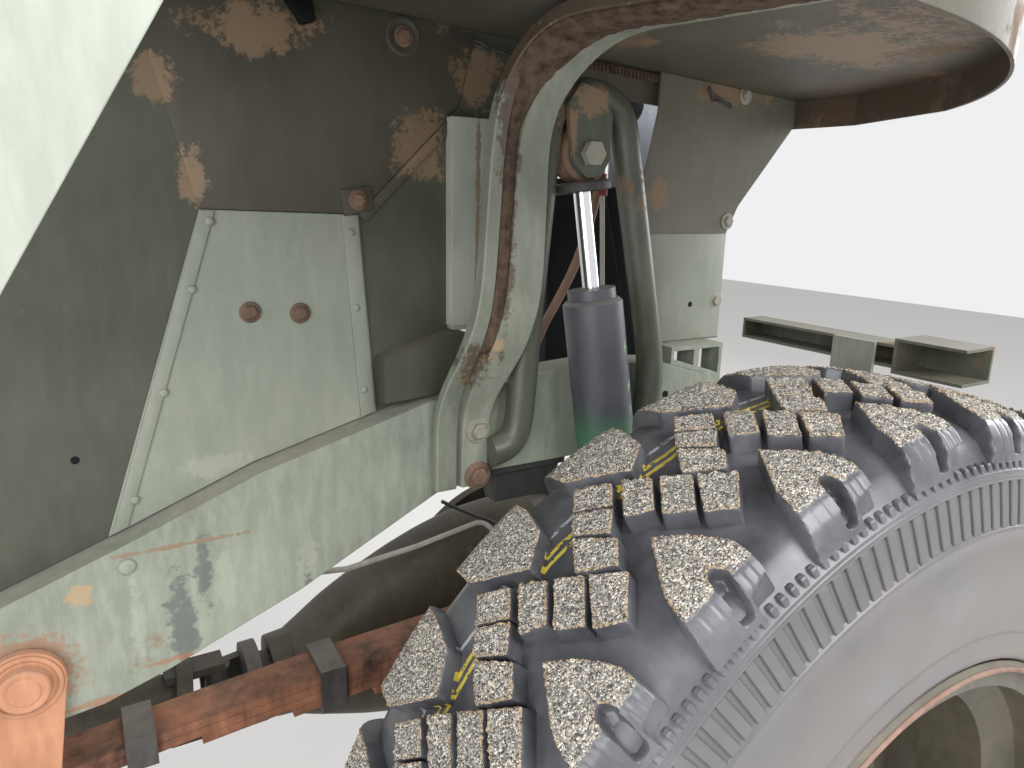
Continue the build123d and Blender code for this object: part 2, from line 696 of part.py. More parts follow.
with BuildPart() as shock_body:
    rod(along(body_start + 10), along(body_end), shock_radius)
    rod(along(body_start), along(body_start + 10), 24)
    rod(along(body_end - 2), along(shock_length - 10), 10)
    rod(low_point - Vector(0, 12, 0), low_point + Vector(0, 12, 0), 18)
    rod(low_point - Vector(0, 12, 0), low_point + Vector(0, 12, 0), 7, mode=Mode.SUBTRACT)
    rims = shock_body.edges().filter_by(GeomType.CIRCLE)
    chamfer(rims.filter_by(lambda edge: abs(edge.radius - shock_radius) < 0.1), 4)
save(shock_body, "shock_body")

# Brake pipe from the union on the axle case back to its clip under the rail
pipe_radius = 3
pipe_route = [(-52, 404, 112), (-90, 400, 150), (-180, 388, 142), (-270, 366, 146), (-316, 340, 165),
              (-340, 334, 200)]
with BuildPart() as brake_pipe:
    with BuildLine() as route:
        FilletPolyline(*[point(*place) for place in pipe_route], radius=24)
    with BuildSketch(Plane(origin=route.line @ 0, z_dir=route.line % 0)) as section:
        Circle(pipe_radius)
    sweep(section.sketch, path=route.line)
save(brake_pipe, "brake_pipe")

# Panels of the wheel arch. The wing's top falls gently towards the front.
def under(x):
    return wing_under - wing_fall * x - 0.2


with BuildPart() as inner_wing:
    panel(side(arch_y + sheet), [(-593.5, under(-593.5)), (-593.5, 211.2), (-559, 223.5), (-470, 256.5),
                                 (-367, 297.5),
                                 (-206, 342.5), (-170, 347), (-170, 409), (-143, 409), (-143, 600),
                                 (-86, 600),
                                 (-33, under(-33))], sheet)
save(inner_wing, "inner_wing")

with BuildPart() as access_plate:
    panel(side(arch_y), [(-395, 515), (-264, 512), (-252, 330.5), (-367, 298.5), (-470, 257.5),
                         (-484, 252.5)], 2)
save(access_plate, "access_plate")

channel_outline = [(-178, 302), (-178, arch_y), (-175, arch_y), (-175, 305), (-125, 305), (-125, arch_y),
                   (-122, arch_y),
                   (-122, 302)]
with BuildPart() as wing_channel:
    panel(level(409), channel_outline, 191)
save(wing_channel, "wing_channel")

gusset_outline = [(-250, 342), (-250, 385), (-180, 404), (-168, 404), (-186, 352), (-206, 345)]
gusset_hollow = [(-247, 346), (-247, 382), (-180, 401), (-172, 401), (-189, 355), (-207, 349)]
with BuildPart() as lower_gusset:
    panel(side(arch_y), gusset_outline, 22)
    panel(side(arch_y), gusset_hollow, 19, mode=Mode.SUBTRACT)
save(lower_gusset, "lower_gusset")

with BuildPart() as front_apron:
    panel(side(arch_y + sheet), [(75, under(75)), (75, 624), (57, 540), (57, 480), (90, 369), (191, 369),
                                 (191, 496),
                                 (207, 527), (290, 622), (290, under(290))], sheet)
save(front_apron, "front_apron")

box_length = 28
with BuildPart() as wing_outrigger:
    panel(side(arch_y), [(92, 349.6), (137, 336.3), (172, 319.9), (172, 368.8), (92, 368.8)], box_length)
    for hollow in ([(96, 355), (127, 345), (127, 364), (96, 364)],
                   [(135, 343), (167, 333), (167, 364), (135, 364)]):
        panel(side(arch_y), hollow, box_length, mode=Mode.SUBTRACT)
save(wing_outrigger, "wing_outrigger")

wing_rear = -600
wing_edge = -56
wing_inner = 330
wing_roll = 14
corner_start = -40
corner_end = (268, 116)


def wing_plan(height, shrink):
    """The wing's outline from above, on a plane that falls with the wing."""
    with BuildSketch(Plane(origin=point(0, 0, height), x_dir=(1, 0, -wing_fall),
                           z_dir=(wing_fall, 0, 1))) as plan:
        with BuildLine():
            Line((wing_rear, wing_edge), (corner_start, wing_edge))
            TangentArc((corner_start, wing_edge), corner_end, tangent=(1, 0))
            Polyline(corner_end, (303, 240), (293, wing_inner), (wing_rear, wing_inner),
                     (wing_rear, wing_edge))
        make_face()
        if shrink:
            offset(amount=-shrink)
    return plan.sketch


with BuildPart() as wing_hollow:
    extrude(wing_plan(wing_under - lip_depth - 10, sheet), amount=lip_depth + 10)
    top_edges = wing_hollow.faces().sort_by(Axis.Z)[-1].edges()
    fillet([top_edges.sort_by(Axis.Y)[0], *top_edges.filter_by(GeomType.CIRCLE)], wing_roll - sheet)

with BuildPart() as wing_top:
    extrude(wing_plan(wing_under - lip_depth, 0), amount=lip_depth + sheet)
    top_edges = wing_top.faces().sort_by(Axis.Z)[-1].edges()
    fillet([top_edges.sort_by(Axis.Y)[0], *top_edges.filter_by(GeomType.CIRCLE)], wing_roll)
    add(wing_hollow.part, mode=Mode.SUBTRACT)
save(wing_top, "wing_top")

body_side_y = -50
with BuildPart() as body_side:
    panel(side(body_side_y + sheet),
          [(-590, 440), (-538, 440), (-507, 493), (-452, 586), (-405, under(-405) - 4),
                                      (-590, under(-590) - 4)], sheet)
save(body_side, "body_side")

radiator_y = rail_inner + 80
with BuildPart() as radiator_side:
    panel(side(radiator_y), [(-12, 330), (120, 330), (62, 553), (-12, 553)], 20)
    panel(side(radiator_y), [(-12, 300), (120, 300), (120, 330), (-12, 330)], radiator_y - rail_inner - 0.2)
save(radiator_side, "radiator_side")

with BuildPart() as bay_panel:
    panel(side(radiator_y + sheet), [(60, 300), (200, 300), (200, 640), (170, under(170)), (85, under(85)),
                                     (85, 553),
                                     (66, 553)], sheet)
save(bay_panel, "bay_panel")
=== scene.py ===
import json
import math

import bpy
import numpy as np
from mathutils import Matrix, Vector, kdtree


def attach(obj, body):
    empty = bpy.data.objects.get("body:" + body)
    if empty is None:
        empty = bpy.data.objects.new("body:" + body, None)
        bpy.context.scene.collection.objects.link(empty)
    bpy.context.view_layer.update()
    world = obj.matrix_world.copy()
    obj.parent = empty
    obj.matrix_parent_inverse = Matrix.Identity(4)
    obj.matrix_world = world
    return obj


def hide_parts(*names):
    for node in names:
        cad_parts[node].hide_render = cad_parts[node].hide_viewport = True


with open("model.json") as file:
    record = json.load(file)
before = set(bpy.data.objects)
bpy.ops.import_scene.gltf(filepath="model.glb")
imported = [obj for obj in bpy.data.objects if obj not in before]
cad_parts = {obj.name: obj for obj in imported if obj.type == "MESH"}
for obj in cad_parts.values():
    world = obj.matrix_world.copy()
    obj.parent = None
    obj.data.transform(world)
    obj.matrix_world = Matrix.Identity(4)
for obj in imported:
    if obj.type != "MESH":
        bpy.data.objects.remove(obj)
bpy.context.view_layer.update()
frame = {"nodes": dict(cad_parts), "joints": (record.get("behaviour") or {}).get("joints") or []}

wheelCentre = Vector(next(j for j in frame["joints"] if j["name"] == "wheel_spin")["pos_m"])
print("frame loaded", len(frame["nodes"]), "nodes")


# places on the pieces are forward, across and up in millimetres from the wheel's centre
def fromWheel(place):
    return wheelCentre + Vector(place) / 1000


# camera, at the place that the tyre's rings in the photograph give, in metres from the wheel's centre
cameraLook = {
    "place": (-0.4858, -0.3337, 0.5249),
    "forward": (0.4948, 0.8359, -0.2375),
    "down": (-0.103, -0.215, -0.9712),
    "focalPixels": 740,
    "imageWidth": 1024,
    "sensor": 36,
    "nearest": 0.01,
}


def placeCamera(look):
    data = bpy.data.cameras.new("photoCamera")
    data.sensor_width = look["sensor"]
    data.lens = look["focalPixels"] / look["imageWidth"] * look["sensor"]
    data.clip_start = look["nearest"]
    cam = bpy.data.objects.new("photoCamera", data)
    bpy.context.scene.collection.objects.link(cam)
    back = -Vector(look["forward"]).normalized()
    up = -Vector(look["down"])
    right = up.cross(back).normalized()
    up = back.cross(right)
    turn = Matrix((right, up, back)).transposed()
    cam.matrix_world = Matrix.Translation(wheelCentre + Vector(look["place"])) @ turn.to_4x4()
    bpy.context.scene.camera = cam


placeCamera(cameraLook)
print("camera placed")


# node helpers: a socket as a value is linked, anything else is set
def addNode(tree, kind, values=None, **settings):
    made = tree.nodes.new(kind)
    for key, value in settings.items():
        setattr(made, key, value)
    for key, value in (values or {}).items():
        if isinstance(value, bpy.types.NodeSocket):
            tree.links.new(value, made.inputs[key])
        else:
            made.inputs[key].default_value = value
    return made


def startMaterial(name):
    mat = bpy.data.materials.new(name)
    mat.use_nodes = True
    mat.node_tree.nodes.clear()
    return mat, mat.node_tree


def objectPlace(tree):
    return addNode(tree, "ShaderNodeTexCoord").outputs["Object"]


def noise(tree, where, scale, detail=4, rough=0.55, stretch=None):
    if stretch:
        where = addNode(tree, "ShaderNodeMapping", {"Vector": where, "Scale": stretch}).outputs[0]
    values = {"Vector": where, "Scale": scale, "Detail": detail, "Roughness": rough}
    return addNode(tree, "ShaderNodeTexNoise", values).outputs["Fac"]


def ramp(tree, value, low, high):
    values = {"Value": value, "From Min": low, "From Max": high}
    return addNode(tree, "ShaderNodeMapRange", values, clamp=True).outputs[0]


def spread(tree, value, low, high):
    return addNode(tree, "ShaderNodeMapRange", {"Value": value, "To Min": low, "To Max": high}).outputs[0]


def mathNode(tree, operation, one, two):
    return addNode(tree, "ShaderNodeMath", {0: one, 1: two}, operation=operation).outputs[0]


def timesNode(tree, one, two):
    return mathNode(tree, "MULTIPLY", one, two)


def plusMinus(tree, amount, where, scale, detail, rough=0.55):
    return timesNode(tree, mathNode(tree, "SUBTRACT", noise(tree, where, scale, detail, rough), 0.5), amount)


def vectorNode(tree, operation, *values):
    return addNode(tree, "ShaderNodeVectorMath", dict(enumerate(values)), operation=operation).outputs


def axisOf(tree, vector, axis):
    return addNode(tree, "ShaderNodeSeparateXYZ", {0: vector}).outputs[axis]


def blendColour(tree, amount, one, two):
    return addNode(tree, "ShaderNodeMix", {0: amount, 6: one, 7: two}, data_type="RGBA").outputs[2]


def rgba(colour):
    return (*colour, 1)


def shadeWith(tree, values):
    shader = addNode(tree, "ShaderNodeBsdfPrincipled", values)
    addNode(tree, "ShaderNodeOutputMaterial", {"Surface": shader.outputs[0]})


mudColour = (0.20, 0.125, 0.07)
dustColour = (0.33, 0.29, 0.23)
rustDark = (0.10, 0.035, 0.018)
rustLight = (0.36, 0.13, 0.05)
patchColours = {  # colour, and how far it covers
    "mud": (0.21, 0.145, 0.09, 0.88),
    "earth": (0.085, 0.057, 0.038, 0.9),
    "rust": (0.28, 0.115, 0.055, 0.6),
    "sand": (0.36, 0.25, 0.13, 0.75),
    "scratch": (0.06, 0.068, 0.075, 0.62),
    "pale": (0.33, 0.345, 0.29, 0.4),
    "lime": (0.22, 0.4, 0.2, 0.7),
}


# patches lie where the photograph has them, each by its middle and half lengths
def placePatches(tree, where, base, patches):
    ragged = plusMinus(tree, 2.6, where, 38, 7, 0.68)
    ragged = mathNode(tree, "ADD", ragged, plusMinus(tree, 2.2, where, 190, 5, 0.7))
    for kind, middle, size in patches:
        offset = vectorNode(tree, "SUBTRACT", where, tuple(fromWheel(middle)))[0]
        offset = vectorNode(tree, "DIVIDE", offset, tuple(Vector(size) / 1000))[0]
        reach = vectorNode(tree, "LENGTH", offset)["Value"]
        mask = ramp(tree, mathNode(tree, "ADD", reach, ragged), 1.05, 0.7)
        *colour, strength = patchColours[kind]
        base = blendColour(tree, timesNode(tree, mask, strength), base, rgba(colour))
    return base


plainPaint = {  # each finish says only where it differs
    "mud": 0.3,
    "dust": 0.3,
    "rust": 0.0,
    "rough": 0.5,
    "dirtyRough": 0.92,
    "streak": 0.35,
    "shine": 0.4,
    "bump": 0.25,
    "bumpHeight": 0.0008,
    "edgeRadius": 0.0012,
    "broadScale": 6,
    "brushScale": 90,
    "brush": (1, 1, 0.25),
    "dustScale": 14,
    "mudScale": 9,
    "rustScale": 30,
    "rustGrain": 220,
    "grainScale": 420,
    "patches": [],
}


def paintedMetal(name, look):
    mat, tree = startMaterial(name)
    where = objectPlace(tree)
    broad = noise(tree, where, look["broadScale"], 5)
    fine = noise(tree, where, look["brushScale"], 6, 0.65, look["brush"])
    base = blendColour(tree, ramp(tree, broad, 0.35, 0.68), rgba(look["dark"]), rgba(look["light"]))
    brushed = [min(1, c * 1.5 + 0.02) for c in look["light"]]
    streak = timesNode(tree, ramp(tree, fine, 0.42, 0.75), look["streak"])
    base = blendColour(tree, streak, base, rgba(brushed))
    facing = axisOf(tree, addNode(tree, "ShaderNodeNewGeometry").outputs["Normal"], 2)
    dust = timesNode(tree, ramp(tree, facing, 0.2, 0.95), look["dust"])
    dust = timesNode(tree, dust, ramp(tree, noise(tree, where, look["dustScale"], 6, 0.6), 0.3, 0.6))
    base = blendColour(tree, dust, base, rgba(dustColour))
    mudStart = 0.36 + 0.34 * (1 - look["mud"])
    mud = ramp(tree, noise(tree, where, look["mudScale"], 8, 0.68), mudStart, mudStart + 0.06)
    base = blendColour(tree, timesNode(tree, mud, 0.8), base, rgba(mudColour))
    rustStart = 0.4 + 0.35 * (1 - look["rust"])
    rust = ramp(tree, noise(tree, where, look["rustScale"], 8, 0.7), rustStart, rustStart + 0.07)
    rustTone = blendColour(tree, noise(tree, where, look["rustGrain"], 4), rgba(rustDark), rgba(rustLight))
    base = blendColour(tree, rust, base, rustTone)
    if "fade" in look:
        start, soft, colour = look["fade"]
        wave = timesNode(tree, noise(tree, where, 30), 0.02)
        level = mathNode(tree, "ADD", axisOf(tree, where, 2), wave)
        start = wheelCentre.z + start / 1000 + 0.01  # and half of the wave's height
        fade = ramp(tree, level, start + soft / 1000, start - soft / 1000)
        base = blendColour(tree, fade, base, rgba(colour))
    base = placePatches(tree, where, base, look["patches"])
    grain = timesNode(tree, noise(tree, where, look["grainScale"], 3, 0.6), 0.35)
    marks = mathNode(tree, "ADD", timesNode(tree, fine, 0.5), timesNode(tree, mud, 1.2))
    rounded = addNode(tree, "ShaderNodeBevel", {"Radius": look["edgeRadius"]}, samples=4).outputs[0]
    height = mathNode(tree, "ADD", grain, marks)
    bump = addNode(tree, "ShaderNodeBump", {
        "Strength": look["bump"], "Distance": look["bumpHeight"], "Height": height, "Normal": rounded,
    })
    dirt = mathNode(tree, "MAXIMUM", mathNode(tree, "MAXIMUM", mud, rust), dust)
    shadeWith(tree, {
        "Base Color": base, "Roughness": spread(tree, dirt, look["rough"], look["dirtyRough"]),
        "Normal": bump.outputs[0], "Specular IOR Level": look["shine"],
    })
    return mat


wingPatches = [
    ("mud", (-342, 314, 655), (48, 30, 20)), ("mud", (-421, 314, 612), (14, 30, 18)),
    ("mud", (-398, 314, 540), (10, 30, 22)), ("mud", (-204, 314, 576), (26, 30, 34)),
    ("mud", (-146, 310, 640), (22, 30, 26)), ("mud", (-166, 314, 690), (34, 40, 18)),
]
bracketPatches = [
    ("earth", (-153, 246, 520), (6, 26, 130)), ("earth", (-158, 238, 590), (12, 30, 60)),
    ("earth", (-152, 225, 640), (24, 46, 34)), ("earth", (-136, 165, 668), (40, 90, 26)),
    ("earth", (-106, 40, 668), (36, 130, 26)), ("sand", (-158, 250, 399), (8, 26, 7)),
    ("sand", (-169, 250, 386), (9, 26, 8)), ("sand", (-184, 250, 369), (9, 26, 7)),
    ("earth", (-178, 262, 382), (20, 30, 22)),
]
railPatches = [
    ("rust", (-551, 285, 158), (40, 60, 40)), ("scratch", (-436, 285, 172), (12, 20, 42)),
    ("scratch", (-418, 285, 215), (7, 20, 36)), ("sand", (-508, 285, 219), (9, 20, 9)),
    ("pale", (-330, 285, 205), (9, 20, 34)), ("pale", (-400, 285, 205), (7, 20, 40)),
    ("pale", (-470, 285, 180), (6, 20, 44)), ("mud", (-440, 285, 246), (50, 30, 2.4)),
    ("rust", (-440, 285, 144), (36, 30, 3)), ("rust", (-500, 285, 123), (30, 30, 3)),
    ("scratch", (-330, 285, 160), (5, 20, 40)),
]
lipPatches = [
    ("earth", (150, 30, 640), (190, 90, 22)), ("mud", (60, 40, 652), (120, 60, 16)),
    ("earth", (290, 200, 640), (90, 120, 26)), ("earth", (330, 190, 655), (90, 60, 16)),
    ("earth", (400, 230, 650), (70, 90, 24)), ("mud", (120, 120, 664), (90, 60, 12)),
]
platePatches = [("pale", (-400, 313, 300), (30, 20, 12)), ("scratch", (-372, 313, 262), (4, 20, 30))]
apronPatches = [("mud", (84, 316, 537), (16, 14, 17)), ("mud", (180, 316, 650), (60, 14, 14))]
hoopPatches = [("mud", (-62, 256, 620), (26, 30, 16)), ("mud", (-84, 256, 590), (9, 30, 30))]
shockPatches = [
    ("lime", (-16, 240, 322), (5, 20, 13)), ("lime", (-24, 240, 388), (2, 20, 8)),
    ("lime", (-18, 240, 350), (4, 20, 7)),
]
finishes = {
    "innerGreen": {"dark": (0.042, 0.046, 0.031), "light": (0.07, 0.074, 0.053), "mud": 0.12, "rough": 0.55,
                   "streak": 0.2, "patches": wingPatches},
    "sheetBrown": {"dark": (0.040, 0.038, 0.026), "light": (0.068, 0.062, 0.044), "mud": 0.25, "rough": 0.6,
                   "streak": 0.2, "patches": wingPatches},
    "plateGreen": {"dark": (0.19, 0.21, 0.17), "light": (0.245, 0.26, 0.215), "mud": 0.02, "dust": 0.4,
                   "rough": 0.42, "streak": 0.2, "patches": platePatches},
    "sideGreen": {"dark": (0.27, 0.295, 0.25), "light": (0.36, 0.38, 0.33), "mud": 0.05, "dust": 0.4,
                  "rough": 0.4, "streak": 0.3},
    "wingGreen": {"dark": (0.055, 0.05, 0.035), "light": (0.095, 0.085, 0.063), "mud": 0.35, "dust": 0.5,
                  "rough": 0.55, "streak": 0.2, "patches": lipPatches},
    "apronGreen": {"dark": (0.095, 0.09, 0.068), "light": (0.135, 0.13, 0.1), "mud": 0.1, "dust": 0.4,
                   "streak": 0.2, "patches": apronPatches},
    "railGreen": {"dark": (0.15, 0.17, 0.135), "light": (0.235, 0.255, 0.205), "mud": 0.12, "dust": 0.5,
                  "rust": 0.02, "rough": 0.45, "streak": 0.45, "patches": railPatches},
    "axleGreen": {"dark": (0.02, 0.019, 0.011), "light": (0.046, 0.036, 0.022), "dust": 0.12, "rust": 0.12,
                  "shine": 0.3},
    "bracketGreen": {"dark": (0.15, 0.165, 0.128), "light": (0.225, 0.24, 0.195), "mud": 0.15, "dust": 0.4,
                     "rough": 0.42, "patches": bracketPatches},
    "hoopGreen": {"dark": (0.045, 0.05, 0.036), "light": (0.075, 0.082, 0.062), "mud": 0.12, "rough": 0.4,
                  "patches": hoopPatches},
    "shockBlue": {"dark": (0.038, 0.04, 0.047), "light": (0.075, 0.079, 0.09), "mud": 0.0, "rough": 0.42,
                  "streak": 0.15, "fade": (310, 16, (0.05, 0.15, 0.078)), "patches": shockPatches},
    "rustySteel": {"dark": (0.028, 0.017, 0.013), "light": (0.25, 0.108, 0.06), "broadScale": 20, "dust": 0.1,
                   "rust": 0.4, "rough": 0.85, "bump": 0.7, "shine": 0.2},
    "boltRust": {"dark": (0.07, 0.045, 0.032), "light": (0.2, 0.125, 0.085), "dust": 0.1, "rust": 0.2,
                 "rough": 0.8, "bump": 0.6},
    "boltPale": {"dark": (0.17, 0.165, 0.13), "light": (0.30, 0.29, 0.235), "mud": 0.15, "dust": 0.1,
                 "rust": 0.05, "rough": 0.55},
    "mudCake": {"dark": (0.04, 0.028, 0.021), "light": (0.125, 0.086, 0.06), "mud": 0.25, "broadScale": 90,
                "dust": 0.0, "rough": 0.95, "bump": 0.8, "shine": 0.1},
    # painted light: the band's green is several times lighter than the inner wing's, so that it shows bright
    # beside the bracket's shadow
    "bandPaintedLightGreen": {"dark": (0.27, 0.29, 0.24), "light": (0.38, 0.4, 0.34), "mud": 0.02, "dust": 0.4,
                  "rough": 0.42, "streak": 0.2, "patches": [("mud", (-151, 302, 505), (2.6, 14, 120))]},
    "bumperGreen": {"dark": (0.075, 0.078, 0.055), "light": (0.12, 0.122, 0.09), "mud": 0.35, "rust": 0.1},
    "lipWorn": {"dark": (0.12, 0.07, 0.05), "light": (0.36, 0.2, 0.15), "mud": 0.1, "rust": 0.2,
                "rough": 0.6},
    "paleRust": {"dark": (0.26, 0.11, 0.06), "light": (0.46, 0.23, 0.13), "mud": 0.2, "dust": 0.2,
                 "rust": 0.25, "rough": 0.8, "bump": 0.6},
    "redLead": {"dark": (0.14, 0.03, 0.022), "light": (0.24, 0.055, 0.04), "mud": 0.15, "dust": 0.2,
                "rust": 0.2, "rough": 0.6},
    "darkSteel": {"dark": (0.02, 0.019, 0.018), "light": (0.06, 0.055, 0.05), "mud": 0.15, "rust": 0.3,
                  "rough": 0.6, "bump": 0.5},
    "brightSteel": {"dark": (0.25, 0.235, 0.2), "light": (0.42, 0.4, 0.36), "mud": 0.1, "rust": 0.15,
                    "rough": 0.4},
    "rimOlive": {"dark": (0.06, 0.052, 0.037), "light": (0.1, 0.087, 0.064), "mud": 0.1},
    "blackPaint": {"dark": (0.003, 0.0034, 0.004), "light": (0.008, 0.009, 0.01), "mud": 0.0, "dust": 0.0,
                   "rough": 0.6, "streak": 0.1, "shine": 0.12},
    "bayBlue": {"dark": (0.13, 0.145, 0.165), "light": (0.24, 0.26, 0.29), "mud": 0.0, "dust": 0.2},
    "blackRubber": {"dark": (0.012, 0.012, 0.012), "light": (0.03, 0.029, 0.028), "mud": 0.2, "dust": 0.4,
                    "rough": 0.7},
    "hoseBrown": {"dark": (0.13, 0.075, 0.045), "light": (0.24, 0.15, 0.1), "mud": 0.1, "rough": 0.6},
}
materials = {name: paintedMetal(name, {**plainPaint, **look}) for name, look in finishes.items()}


def chromeRod():
    mat, tree = startMaterial("chromeRod")
    streak = noise(tree, objectPlace(tree), 300, 4, 0.6, (1, 1, 0.1))
    rough = spread(tree, streak, 0.05, 0.22)
    shadeWith(tree, {"Base Color": (0.8, 0.81, 0.82, 1), "Metallic": 1.0, "Roughness": rough})
    return mat


materials["chromeRod"] = chromeRod()


rubberLook = {
    "dark": (0.05, 0.051, 0.058, 1),
    "light": (0.145, 0.147, 0.162, 1),
    "sidewall": (0.115, 0.11, 0.112, 1),
    "dust": (0.17, 0.15, 0.135, 1),
    "grainScale": 980,
    "grainHeight": 0.0014,
    "grains": [(0, (0.10, 0.097, 0.095, 1)), (0.22, (0.24, 0.23, 0.21, 1)), (0.5, (0.42, 0.385, 0.33, 1)),
               (0.8, (0.78, 0.71, 0.6, 1))],
    "ochre": (0.50, 0.34, 0.19, 1),
    "yellow": (0.58, 0.47, 0.07, 1),
    "white": (0.45, 0.45, 0.47, 1),
    "stripes": [(20, 23.2, "yellow"), (26.6, 29.8, "yellow"), (38.5, 41.5, "white")],  # across the groove
    "floorRadius": 0.3915,
}


def sandColour(tree, tone, look):
    sandy = addNode(tree, "ShaderNodeValToRGB", {"Fac": tone})
    bands = sandy.color_ramp
    bands.interpolation = "CONSTANT"
    while len(bands.elements) < len(look["grains"]):
        bands.elements.new(0.5)
    for element, (start, colour) in zip(bands.elements, look["grains"]):
        element.position = start
        element.color = colour
    return sandy.outputs[0]


# rubber with dusty walls, stripes on the grooves' floors, and sand where the tread's attribute says
def tyreRubber(look):
    mat, tree = startMaterial("tyreRubber")
    where = objectPlace(tree)
    toCentre = {"Vector": where, "Location": tuple(-wheelCentre)}
    centred = addNode(tree, "ShaderNodeMapping", toCentre).outputs[0]
    flat = vectorNode(tree, "MULTIPLY", centred, (1, 0, 1))[0]
    radius = vectorNode(tree, "LENGTH", flat)["Value"]
    worn = ramp(tree, noise(tree, where, 22, 6, 0.6), 0.35, 0.75)
    base = blendColour(tree, worn, look["dark"], look["light"])
    wall = timesNode(tree, ramp(tree, radius, 0.372, 0.35), 0.75)
    base = blendColour(tree, wall, base, look["sidewall"])
    clouds = ramp(tree, noise(tree, where, 18, 7, 0.65), 0.3, 0.7)
    dusty = timesNode(tree, ramp(tree, radius, 0.36, 0.24), clouds)
    base = blendColour(tree, dusty, base, look["dust"])
    across = mathNode(tree, "ADD", axisOf(tree, centred, "Y"), plusMinus(tree, 0.006, where, 40, 3))
    low = mathNode(tree, "LESS_THAN", radius, look["floorRadius"])
    chips = mathNode(tree, "GREATER_THAN", noise(tree, where, 160, 5, 0.7), 0.44)
    for start, end, paint in look["stripes"]:
        band = {0: across, 1: (start + end) / 2000, 2: (end - start) / 2000}
        inside = addNode(tree, "ShaderNodeMath", band, operation="COMPARE").outputs[0]
        base = blendColour(tree, timesNode(tree, timesNode(tree, inside, low), chips), base, look[paint])
    spots = {"Vector": where, "Scale": look["grainScale"], "Randomness": 1.0}
    grains = addNode(tree, "ShaderNodeTexVoronoi", spots)
    tone = addNode(tree, "ShaderNodeSeparateColor", {0: grains.outputs["Color"]}).outputs[0]
    sand = addNode(tree, "ShaderNodeAttribute", attribute_name="sand").outputs["Fac"]
    edge = addNode(tree, "ShaderNodeAttribute", attribute_name="edge").outputs["Fac"]
    patchy = mathNode(tree, "ADD", edge, timesNode(tree, noise(tree, where, 45, 4, 0.6), 1.1))
    ochre = timesNode(tree, ramp(tree, patchy, 1.05, 1.3), ramp(tree, tone, 0.1, 0.5))
    sandy = blendColour(tree, timesNode(tree, ochre, 0.75), sandColour(tree, tone, look), look["ochre"])
    broken = mathNode(tree, "ADD", sand, timesNode(tree, noise(tree, where, 90, 6, 0.75), 0.6))
    cover = ramp(tree, broken, 0.68, 0.9)
    base = blendColour(tree, cover, base, sandy)
    height = timesNode(tree, mathNode(tree, "SUBTRACT", 1.0, grains.outputs["Distance"]), cover)
    rise = {"Strength": 0.9, "Distance": look["grainHeight"], "Height": height}
    bump = addNode(tree, "ShaderNodeBump", rise).outputs[0]
    dull = mathNode(tree, "MAXIMUM", cover, timesNode(tree, dusty, 0.6))
    shadeWith(tree, {"Base Color": base, "Roughness": spread(tree, dull, 0.3, 0.95), "Normal": bump})
    return mat


materials["tyreRubber"] = tyreRubber(rubberLook)

nodeFinish = {
    "innerGreen": ["inner_wing", "lower_gusset"],
    "wingGreen": ["wing_top"],
    "apronGreen": ["front_apron"],
    "sideGreen": ["body_side"],
    "plateGreen": ["access_plate"],
    "bandPaintedLightGreen": ["wing_channel"],
    "bumperGreen": ["bumper"],
    "railGreen": ["chassis_rail", "rail_end_plate", "bumper_bracket", "wing_outrigger", "front_hanger"],
    "axleGreen": ["axle_case", "prop_shaft", "swivel_housing", "steering_arm", "brake_backplate",
                  "spring_seat", "spring_plate"],
    "bracketGreen": ["arch_bracket"],
    "hoopGreen": ["shock_hoop", "shock_gusset"],
    "shockBlue": ["shock_body"],
    "chromeRod": ["shock_rod"],
    "rustySteel": ["leaf_spring"],
    "paleRust": ["shackle_plates", "shackle_bolts"],
    "darkSteel": ["axle_ball", "king_pins", "stub_axle", "pinion_flange", "universal_joint", "spring_clips",
                  "u_bolts", "brake_drum"],
    "brightSteel": ["brake_pipe", "wheel_nuts"],
    "boltPale": ["shock_bolts"],
    "rimOlive": ["wheel_rim", "wheel_disc", "hub", "hub_cap"],
    "blackPaint": ["radiator_side"],
    "bayBlue": ["bay_panel"],
    "blackRubber": ["bump_stop"],
    "tyreRubber": ["tyre"],
}
for finish, names in nodeFinish.items():
    for name in names:
        node = frame["nodes"][name]
        node.data.materials.clear()
        node.data.materials.append(materials[finish])
print("finishes set")


# small tools for making pieces
def clearSelection():
    if bpy.context.object and bpy.context.object.mode != "OBJECT":
        bpy.ops.object.mode_set(mode="OBJECT")
    bpy.ops.object.select_all(action="DESELECT")


def pickOnly(piece):
    clearSelection()
    piece.select_set(True)
    bpy.context.view_layer.objects.active = piece


def editAll(action="SELECT"):
    bpy.ops.object.mode_set(mode="EDIT")
    bpy.ops.mesh.select_all(action=action)


def endEdit():
    bpy.ops.object.mode_set(mode="OBJECT")


def applyModifier(piece, kind, **settings):
    pickOnly(piece)
    modifier = piece.modifiers.new(kind.lower(), kind)
    for key, value in settings.items():
        setattr(modifier, key, value)
    bpy.ops.object.modifier_apply(modifier=modifier.name)


def fixNormals(piece):
    pickOnly(piece)
    editAll()
    bpy.ops.mesh.remove_doubles(threshold=0.00002)
    bpy.ops.mesh.normals_make_consistent(inside=False)
    endEdit()


def drawOutline(name, places, fill="NGON"):
    clearSelection()
    bpy.ops.mesh.primitive_circle_add(vertices=len(places), radius=0.01, fill_type=fill)
    piece = bpy.context.object
    piece.name = name
    for vertex, place in zip(piece.data.vertices, places):
        vertex.co = place
    return piece


def pullOut(x, y, z):
    editAll()
    bpy.ops.mesh.extrude_region_move(TRANSFORM_OT_translate={"value": (x, y, z)})
    endEdit()


